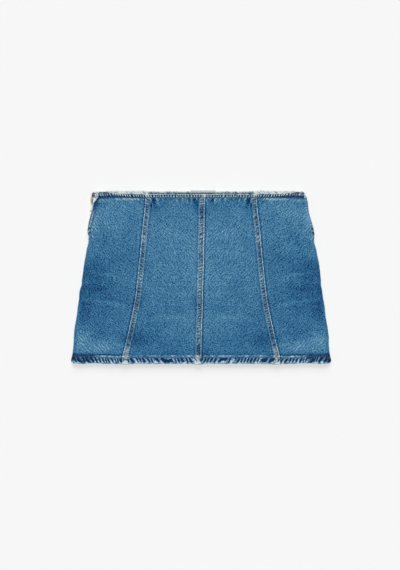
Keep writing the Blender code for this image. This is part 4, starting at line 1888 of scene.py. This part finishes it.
@dataclass
class Topstitching:
    """Every row of stitches, front and back."""

    pattern: Pattern = PATTERN
    seam_foot: float = 13.0
    seam_top: float = 279.5
    row_in: float = 1.3
    bar_in: float = 2.1
    bar_heights: tuple[float, float] = (221.6, 229.2)

    def common(self, needle: Needle, front: bool) -> None:
        """Rows that the front and the back share: the side bands, hem, binding and side seams.

        Args:
            needle: What sews.
            front: Whether the rows are the front's.
        """
        p = self.pattern
        lift = 0 if front else 4.4
        for side in (-1, 1):
            for inward, tone in ((self.row_in, 0.2), (p.band - self.row_in, -0.05)):

                def in_band(y: float) -> tuple[float, float]:
                    """A place on the row, in from the band's folded edge."""
                    return side * (float(p.side_seam(y)) - inward), y

                needle.row(in_band, self.seam_foot, self.seam_top, tone=tone)
            for y in self.bar_heights:
                edge = float(p.half_width(y) + outline_wave(np.array(y), side))
                edge += float(p.front_out(y)) if side < 0 and front else 0
                needle.bar(side * (edge - self.bar_in), y, self.bar_in, -1.9 * side, -1.1)
        reach = p.half_at_hem - 5
        needle.row(lambda x: (x, float(WORK.hem_row(x))), -reach, reach, tone=-0.3)
        edge = p.waist_half - 6
        needle.row(lambda x: (x, p.binding_foot + 1 + lift), -edge, edge, pitch=4.2, tone=-0.35)

    def build(self, front: Sequence[Piece], back: Sequence[Piece]) -> list[Piece]:
        """Sews both faces.

        Args:
            front: The front's cloth.
            back: The back's cloth.

        Returns:
            The stitches of the front and of the back.
        """
        p = self.pattern
        needle = Needle(front, True)
        self.common(needle, True)
        for inward, tone in ((self.row_in, 0.2), (p.centre_band - 1.4, 0)):
            needle.row(lambda y: (float(p.centre_seam(y)) - inward, y), self.seam_foot, 276, tone=tone)

        def beside_zip(y: float) -> tuple[float, float]:
            """A place on the row in from the folded edge."""
            return 5.6 - float(p.half_width(y) + p.front_out(y) + outline_wave(y, -1)), y

        needle.row(beside_zip, 206, 274, tone=-0.5)
        under = Needle(back, False)
        self.common(under, False)
        return [needle.finish("stitches_front"), under.finish("stitches_back")]


def linear(red: float, green: float, blue: float) -> tuple[float, float, float, float]:
    """A colour given in display numbers from 0 to 255, as the shader's linear colour."""
    share = np.array((red, green, blue)) / 255
    line = np.where(share <= 0.04045, share / 12.92, ((share + 0.055) / 1.055) ** 2.4)
    return (float(line[0]), float(line[1]), float(line[2]), 1)


class Value:
    """A socket that can stand in a sum: each operator adds a Math node."""

    def __init__(self, graph: Graph, socket: bpy.types.NodeSocket) -> None:
        """Wraps an output socket of a node tree."""
        self.graph = graph
        self.socket = socket

    def __add__(self, other: Value | float) -> Value:
        """The sum."""
        return self.graph.math("ADD", self, other)

    def __radd__(self, other: float) -> Value:
        """The sum, from a number."""
        return self.graph.math("ADD", other, self)

    def __sub__(self, other: Value | float) -> Value:
        """The difference."""
        return self.graph.math("SUBTRACT", self, other)

    def __rsub__(self, other: float) -> Value:
        """The difference, from a number."""
        return self.graph.math("SUBTRACT", other, self)

    def __mul__(self, other: Value | float) -> Value:
        """The product."""
        return self.graph.math("MULTIPLY", self, other)

    def __rmul__(self, other: float) -> Value:
        """The product, from a number."""
        return self.graph.math("MULTIPLY", other, self)

    def __truediv__(self, other: Value | float) -> Value:
        """The quotient."""
        return self.graph.math("DIVIDE", self, other)

    def __neg__(self) -> Value:
        """The negative."""
        return self.graph.math("MULTIPLY", self, -1)

    def sine(self) -> Value:
        """The sine of the value in radians."""
        return self.graph.math("SINE", self)

    def clamp(self) -> Value:
        """The value kept from 0 to 1."""
        return self.graph.math("MINIMUM", self.graph.math("MAXIMUM", self, 0), 1)


Input = "Value | float | tuple[float, ...]"


class Graph:
    """The node tree of one material, written as sums of values."""

    def __init__(self, name: str) -> None:
        """Makes an empty material."""
        self.material = bpy.data.materials.new(name)
        self.material.use_nodes = True
        self.tree = self.material.node_tree
        self.tree.nodes.clear()

    def node(
        self, kind: str, settings: dict[str, object], inputs: dict[str | int, Input]
    ) -> bpy.types.Node:
        """Adds a node.

        Args:
            kind: Its type.
            settings: Its properties.
            inputs: Values or links for its inputs, by name or index.

        Returns:
            The node.
        """
        made = self.tree.nodes.new(kind)
        for key, value in settings.items():
            setattr(made, key, value)
        for key, value in inputs.items():
            if isinstance(value, Value):
                self.tree.links.new(value.socket, made.inputs[key])
            else:
                made.inputs[key].default_value = value
        return made

    def math(self, operation: str, *terms: Input) -> Value:
        """A Math node of one or more terms."""
        made = self.node("ShaderNodeMath", {"operation": operation}, dict(enumerate(terms)))
        return Value(self, made.outputs[0])

    def place(self) -> tuple[Value, Value, Value]:
        """X, y and z on the object, in millimetres."""
        coordinate = self.node("ShaderNodeTexCoord", {}, {})
        split = self.node("ShaderNodeSeparateXYZ", {}, {0: Value(self, coordinate.outputs["Object"])})
        return tuple(Value(self, split.outputs[i]) * 1000 for i in range(3))

    def attribute(self, name: str) -> Value:
        """A number stored on the mesh."""
        made = self.node("ShaderNodeAttribute", {"attribute_name": name}, {})
        return Value(self, made.outputs["Fac"])

    def vector(self, x: Input, y: Input, z: Input) -> Value:
        """Three numbers as a vector."""
        return Value(self, self.node("ShaderNodeCombineXYZ", {}, {0: x, 1: y, 2: z}).outputs[0])

    def noise(self, vector: Value, detail: float = 2.0, roughness: float = 0.5) -> Value:
        """Soft noise about zero, from about -1 to 1, with features as long as the vector's unit."""
        inputs = {"Vector": vector, "Scale": 1, "Detail": detail, "Roughness": roughness}
        made = self.node("ShaderNodeTexNoise", {}, inputs)
        return (Value(self, made.outputs[0]) - 0.5) * 2

    def cells(self, u: Value, v: Value) -> Value:
        """Evenly strewn flecks about zero, one to each unit, palest in their middles."""
        inputs = {"Vector": self.vector(u, v, 0), "Scale": 1, "Randomness": 0.85}
        made = self.node("ShaderNodeTexVoronoi", {"voronoi_dimensions": "2D"}, inputs)
        return (0.56 - self.math("POWER", Value(self, made.outputs["Distance"]), 0.65)) * 3.6

    def ramp(self, value: Value, stops: Sequence[tuple[float, tuple[float, float, float]]]) -> Value:
        """A colour for each value, from stops of display colours."""
        made = self.node("ShaderNodeValToRGB", {}, {0: value})
        elements = made.color_ramp.elements
        while len(elements) < len(stops):
            elements.new(0.5)
        for element, (at, colour) in zip(elements, stops):
            element.position = at
            element.color = linear(*colour)
        return Value(self, made.outputs[0])

    def mix(self, share: Input, first: Input, second: Input) -> Value:
        """Two colours mixed."""
        inputs = {0: share, 6: first, 7: second}
        made = self.node("ShaderNodeMix", {"data_type": "RGBA"}, inputs)
        return Value(self, made.outputs[2])

    def bumped(self, height: Value, distance: float, strength: float) -> Value:
        """A normal raised by a height."""
        inputs = {"Height": height, "Distance": distance, "Strength": strength}
        return Value(self, self.node("ShaderNodeBump", {}, inputs).outputs[0])

    def finish(self, inputs: dict[str | int, Input]) -> Finish:
        """Adds the principled surface and the output.

        Args:
            inputs: The surface's values and links by name.

        Returns:
            The material.
        """
        surface = self.node("ShaderNodeBsdfPrincipled", {}, inputs)
        self.node("ShaderNodeOutputMaterial", {}, {"Surface": Value(self, surface.outputs[0])})
        return self.material


@dataclass(frozen=True)
class Denim:
    """Washed right-hand or left-hand twill: blue warp over pale weft, paler where it is rubbed."""

    name: str
    lean: float
    grain: float = 0.17
    speckle: float = 0.22
    mottle: float = 0.03
    middle: float = 0.44
    twill: float = 0.95
    wale: float = 4.4

    RAMP = (
        (0, (2, 38, 74)),
        (0.14, (12, 64, 108)),
        (0.3, (33, 91, 132)),
        (0.45, (54, 109, 145)),
        (0.56, (70, 124, 157)),
        (0.7, (98, 146, 174)),
        (0.85, (142, 175, 194)),
        (1, (193, 207, 212)),
    )
    RUBBED = (
        (0.08, (40, 56, 70)),
        (0.35, (96, 114, 124)),
        (0.6, (150, 163, 166)),
        (0.95, (205, 211, 206)),
    )
    WRONG = ((0.15, (112, 132, 150)), (0.85, (186, 194, 198)))

    def make(self) -> Finish:
        """Makes the material.

        Returns:
            The material.
        """
        g = Graph(self.name)
        x, y, z = g.place()
        side = x * self.lean
        along = (side - y) * 0.7071
        across = (side + y) * 0.7071
        grain = g.noise(g.vector(along / 5, across / 1.5, z / 2), 0, 0.5)
        fleck = g.cells(along / 2.5, across / 2.2)
        cloud = g.noise(g.vector(x / 11, y / 14, z / 11), 2, 0.55)
        sway = g.noise(g.vector(x / 9, y / 9, z / 9 + 5), 0, 0.5)
        wale = (across * (2 * math.pi / self.wale) + sway * 4.5).sine()
        # The tone attribute holds the wash and wear together with painted shade and highlight in places;
        # rubbed reads its paler places.
        rubbed = ((g.attribute("tone") - 0.04) * 14).clamp()
        line = (across * (2 * math.pi / self.twill) + grain * 3).sine()
        tick = ((g.attribute("turns") * (2 * math.pi) + math.pi / 2).sine() * 0.9 + 0.5).clamp() - 0.5
        ticks = tick * g.attribute("ropes") * 2
        tone = g.attribute("tone") + self.middle + grain * self.grain
        tone += fleck * (self.speckle - rubbed * 0.08)
        tone += wale * (0.028 + rubbed * 0.11)
        tone = (tone + cloud * self.mottle + line * 0.03 + ticks).clamp()
        colour = g.mix(g.attribute("bare").clamp(), g.ramp(tone, self.RAMP), g.ramp(tone, self.RUBBED))
        wrong = g.ramp((0.5 + grain * 0.3 + fleck * 0.25).clamp(), self.WRONG)
        colour = g.mix(g.attribute("reverse").clamp(), colour, wrong)
        height = line * 0.35 + grain * 0.5 + fleck * 0.5 + ticks * 1.5
        return g.finish(
            {
                "Base Color": colour,
                "Roughness": 0.9,
                "Specular IOR Level": 0.2,
                "Normal": g.bumped(height, 0.00012, 0.8),
            }
        )


@dataclass(frozen=True)
class Woven:
    """A plain or twill woven stuff of one colour, such as cotton, tape or thread."""

    name: str
    colour: tuple[float, float, float]
    deep: tuple[float, float, float]
    yarn: float
    roughness: float = 0.85

    def make(self) -> Finish:
        """Makes the material.

        Returns:
            The material.
        """
        g = Graph(self.name)
        x, y, z = g.place()
        warp = (x * (math.pi / self.yarn)).sine()
        weft = ((y + z) * (math.pi / self.yarn)).sine()
        uneven = g.noise(g.vector(x / 2.6, y / 2.6, z / 2.6), 2, 0.6)
        weave = warp * weft
        share = (0.55 + g.attribute("tone") + 0.10 * weave + 0.16 * uneven).clamp()
        colour = g.mix(share, linear(*self.deep), linear(*self.colour))
        return g.finish(
            {
                "Base Color": colour,
                "Roughness": self.roughness,
                "Specular IOR Level": 0.25,
                "Normal": g.bumped(weave + uneven, self.yarn * 0.0001, 0.6),
            }
        )


@dataclass(frozen=True)
class AntiqueBrass:
    """Brass gone brown in its hollows."""

    name: str
    bright: tuple[float, float, float]
    dull: tuple[float, float, float]
    metallic: float = 1.0

    def make(self) -> Finish:
        """Makes the material.

        Returns:
            The material.
        """
        g = Graph(self.name)
        x, y, z = g.place()
        stain = g.noise(g.vector(x / 1.6, y / 1.6, z / 1.6), 3, 0.6)
        # The tone attribute brings in the teeth's painted shadow near the slider.
        share = (0.55 + g.attribute("tone") + 0.8 * stain).clamp()
        return g.finish(
            {
                "Base Color": g.mix(share, linear(*self.dull), linear(*self.bright)),
                "Metallic": self.metallic,
                "Roughness": (0.42 - 0.12 * stain).clamp(),
            }
        )


@dataclass(frozen=True)
class Paper:
    """The plain pale floor."""

    name: str
    level: float = 0.85

    def make(self) -> Finish:
        """Makes the material.

        Returns:
            The material.
        """
        g = Graph(self.name)
        colour = (self.level, self.level, self.level, 1)
        return g.finish({"Base Color": colour, "Roughness": 1, "Specular IOR Level": 0})


def all_finishes() -> dict[str, Finish]:
    """Makes every finish.

    Returns:
        The materials by name.
    """
    finishes = (
        Denim("denim_left", 1),
        Denim("denim_right", -1),
        Woven("thread", (200, 208, 208), (36, 44, 52), 0.5),
        Woven("cotton", (226, 222, 210), (186, 184, 176), 0.42),
        Woven("tape", (248, 250, 254), (222, 226, 232), 0.55),
        # The ribbon's dark colour gives the label's painted shadow.
        Woven("ribbon", (188, 197, 203), (54, 66, 72), 0.6),
        AntiqueBrass("bronze", (82, 66, 62), (30, 24, 26)),
        AntiqueBrass("teeth", (236, 230, 218), (66, 62, 52), 0.4),
        AntiqueBrass("gilt", (234, 229, 206), (150, 142, 116), 0.4),
        Paper("paper"),
    )
    return {finish.name: finish.make() for finish in finishes}


@dataclass
class Studio:
    """The floor, the soft light and the camera straight above."""

    floor_side: float = 30.0
    floor_drop: float = 0.0002
    sky: float = 0.164
    overhead: float = 2.063
    overhead_spread: float = 25.0
    window: float = 1.5
    window_height: float = 35.0
    window_spread: float = 40.0
    camera_x: float = -0.0019
    camera_y: float = -0.01375
    camera_high: float = 2.295
    lens: float = 85.0

    def build(self, finishes: dict[str, Finish]) -> None:
        """Makes the floor, lights and camera."""
        scene = bpy.context.scene
        scene.view_settings.view_transform = "Standard"
        bpy.ops.mesh.primitive_plane_add(size=self.floor_side, location=(0, 0, -self.floor_drop))
        floor = bpy.context.active_object
        floor.name = "floor"
        floor.data.materials.append(finishes["paper"])
        floor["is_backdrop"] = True
        world = bpy.data.worlds.new("studio")
        world.use_nodes = True
        background = world.node_tree.nodes["Background"]
        background.inputs["Color"].default_value = (1, 1, 1, 1)
        background.inputs["Strength"].default_value = self.sky
        scene.world = world
        self.lamp("overhead_light", 90, self.overhead, self.overhead_spread)
        self.lamp("window_light", self.window_height, self.window, self.window_spread)
        place = (self.camera_x, self.camera_y, self.camera_high)
        bpy.ops.object.camera_add(location=place, rotation=ORIGIN)
        camera = bpy.context.active_object
        camera.name = "camera"
        camera.data.lens = self.lens
        camera.data.sensor_width = 36
        camera.data.dof.use_dof = False
        camera.data.clip_start = 0.05
        camera.data.clip_end = 50
        scene.camera = camera

    def lamp(self, name: str, height: float, energy: float, spread: float) -> None:
        """Adds a distant lamp beyond the waist.

        Args:
            name: Its name.
            height: Degrees above the floor.
            energy: Its strength.
            spread: How soft its shadows are, in degrees.
        """
        tilt = math.radians(90 - height)
        bpy.ops.object.light_add(type="SUN", location=(0, 1, 1), rotation=(-tilt, 0, 0))
        light = bpy.context.active_object
        light.name = name
        light.data.energy = energy
        light.data.angle = math.radians(spread)


class Skort:
    """The whole garment, built in order from its finishes."""

    def __init__(self, finishes: dict[str, Finish]) -> None:
        """Keeps the finishes."""
        self.finishes = finishes

    def add(self, item: Piece, finish: str, slot: str, node: str, body: str = BODY) -> Piece:
        """Dresses a piece and lets it stand for its solid.

        Args:
            item: The piece.
            finish: Name of its finish.
            slot: Not used.
            node: The solid that it stands for.
            body: The body that it rides on.

        Returns:
            The piece.
        """
        dress(item, self.finishes[finish], body)
        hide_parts(node)
        LOG.info("%s: %d faces", item.name, len(item.data.polygons))
        return item

    def build(self) -> None:
        """Builds every piece."""
        panels = []
        for panel, node, finish in Skirt().panels():
            panels.append(self.add(panel.build(), finish, "washed_denim", node))
        bindings = [
            self.add(Binding(True).build(), "denim_left", "washed_denim", "waist_binding_front"),
            self.add(Binding(False).build(), "denim_left", "washed_denim", "waist_binding_back"),
        ]
        stitches = Topstitching().build([*panels[:4], bindings[0]], [*panels[4:], bindings[1]])
        for item in stitches:
            dress(item, self.finishes["thread"])
        for side in (-1, 1):
            for front in (False, True):
                node = f"shorts_{face_word(front)}_{side_word(side)}"
                item = self.add(ShortsQuarter(side, front).build(), "cotton", "shorts_cotton", node)
                under = f"shorts_back_{side_word(side)}" if front else "back_centre"
                area = 0.0470 if side > 0 else 0.0463
        trims = Trims()
        for front in (True, False):
            node = f"zip_tape_{face_word(front)}"
            item = self.add(trims.tape(front), "tape", "zip_tape_ecru", node)
        label = self.add(trims.label(), "ribbon", "label_grey", "waist_label")
        side_zip = SideZip(ZipSizes())
        self.add(side_zip.teeth(), "teeth", "antique_brass", "zip_chain")
        self.add(side_zip.stop(), "teeth", "antique_brass", "zip_bottom_stop")
        self.add(side_zip.slider(), "bronze", "antique_brass", "zip_slider")
        self.add(side_zip.tab(), "gilt", "antique_brass", "zip_pull_tab", "pull_tab")


def corners() -> list[list[float]]:
    """The shown object's lowest and highest corner as plain lists."""
    return [[float(number) for number in corner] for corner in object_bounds()]


def main() -> None:
    """Builds the scene in order."""
    logging.basicConfig(level=logging.INFO, format="%(message)s", stream=sys.stdout)
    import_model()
    finishes = all_finishes()
    Studio().build(finishes)
    Skort(finishes).build()


if __name__ == "__main__":
    main()
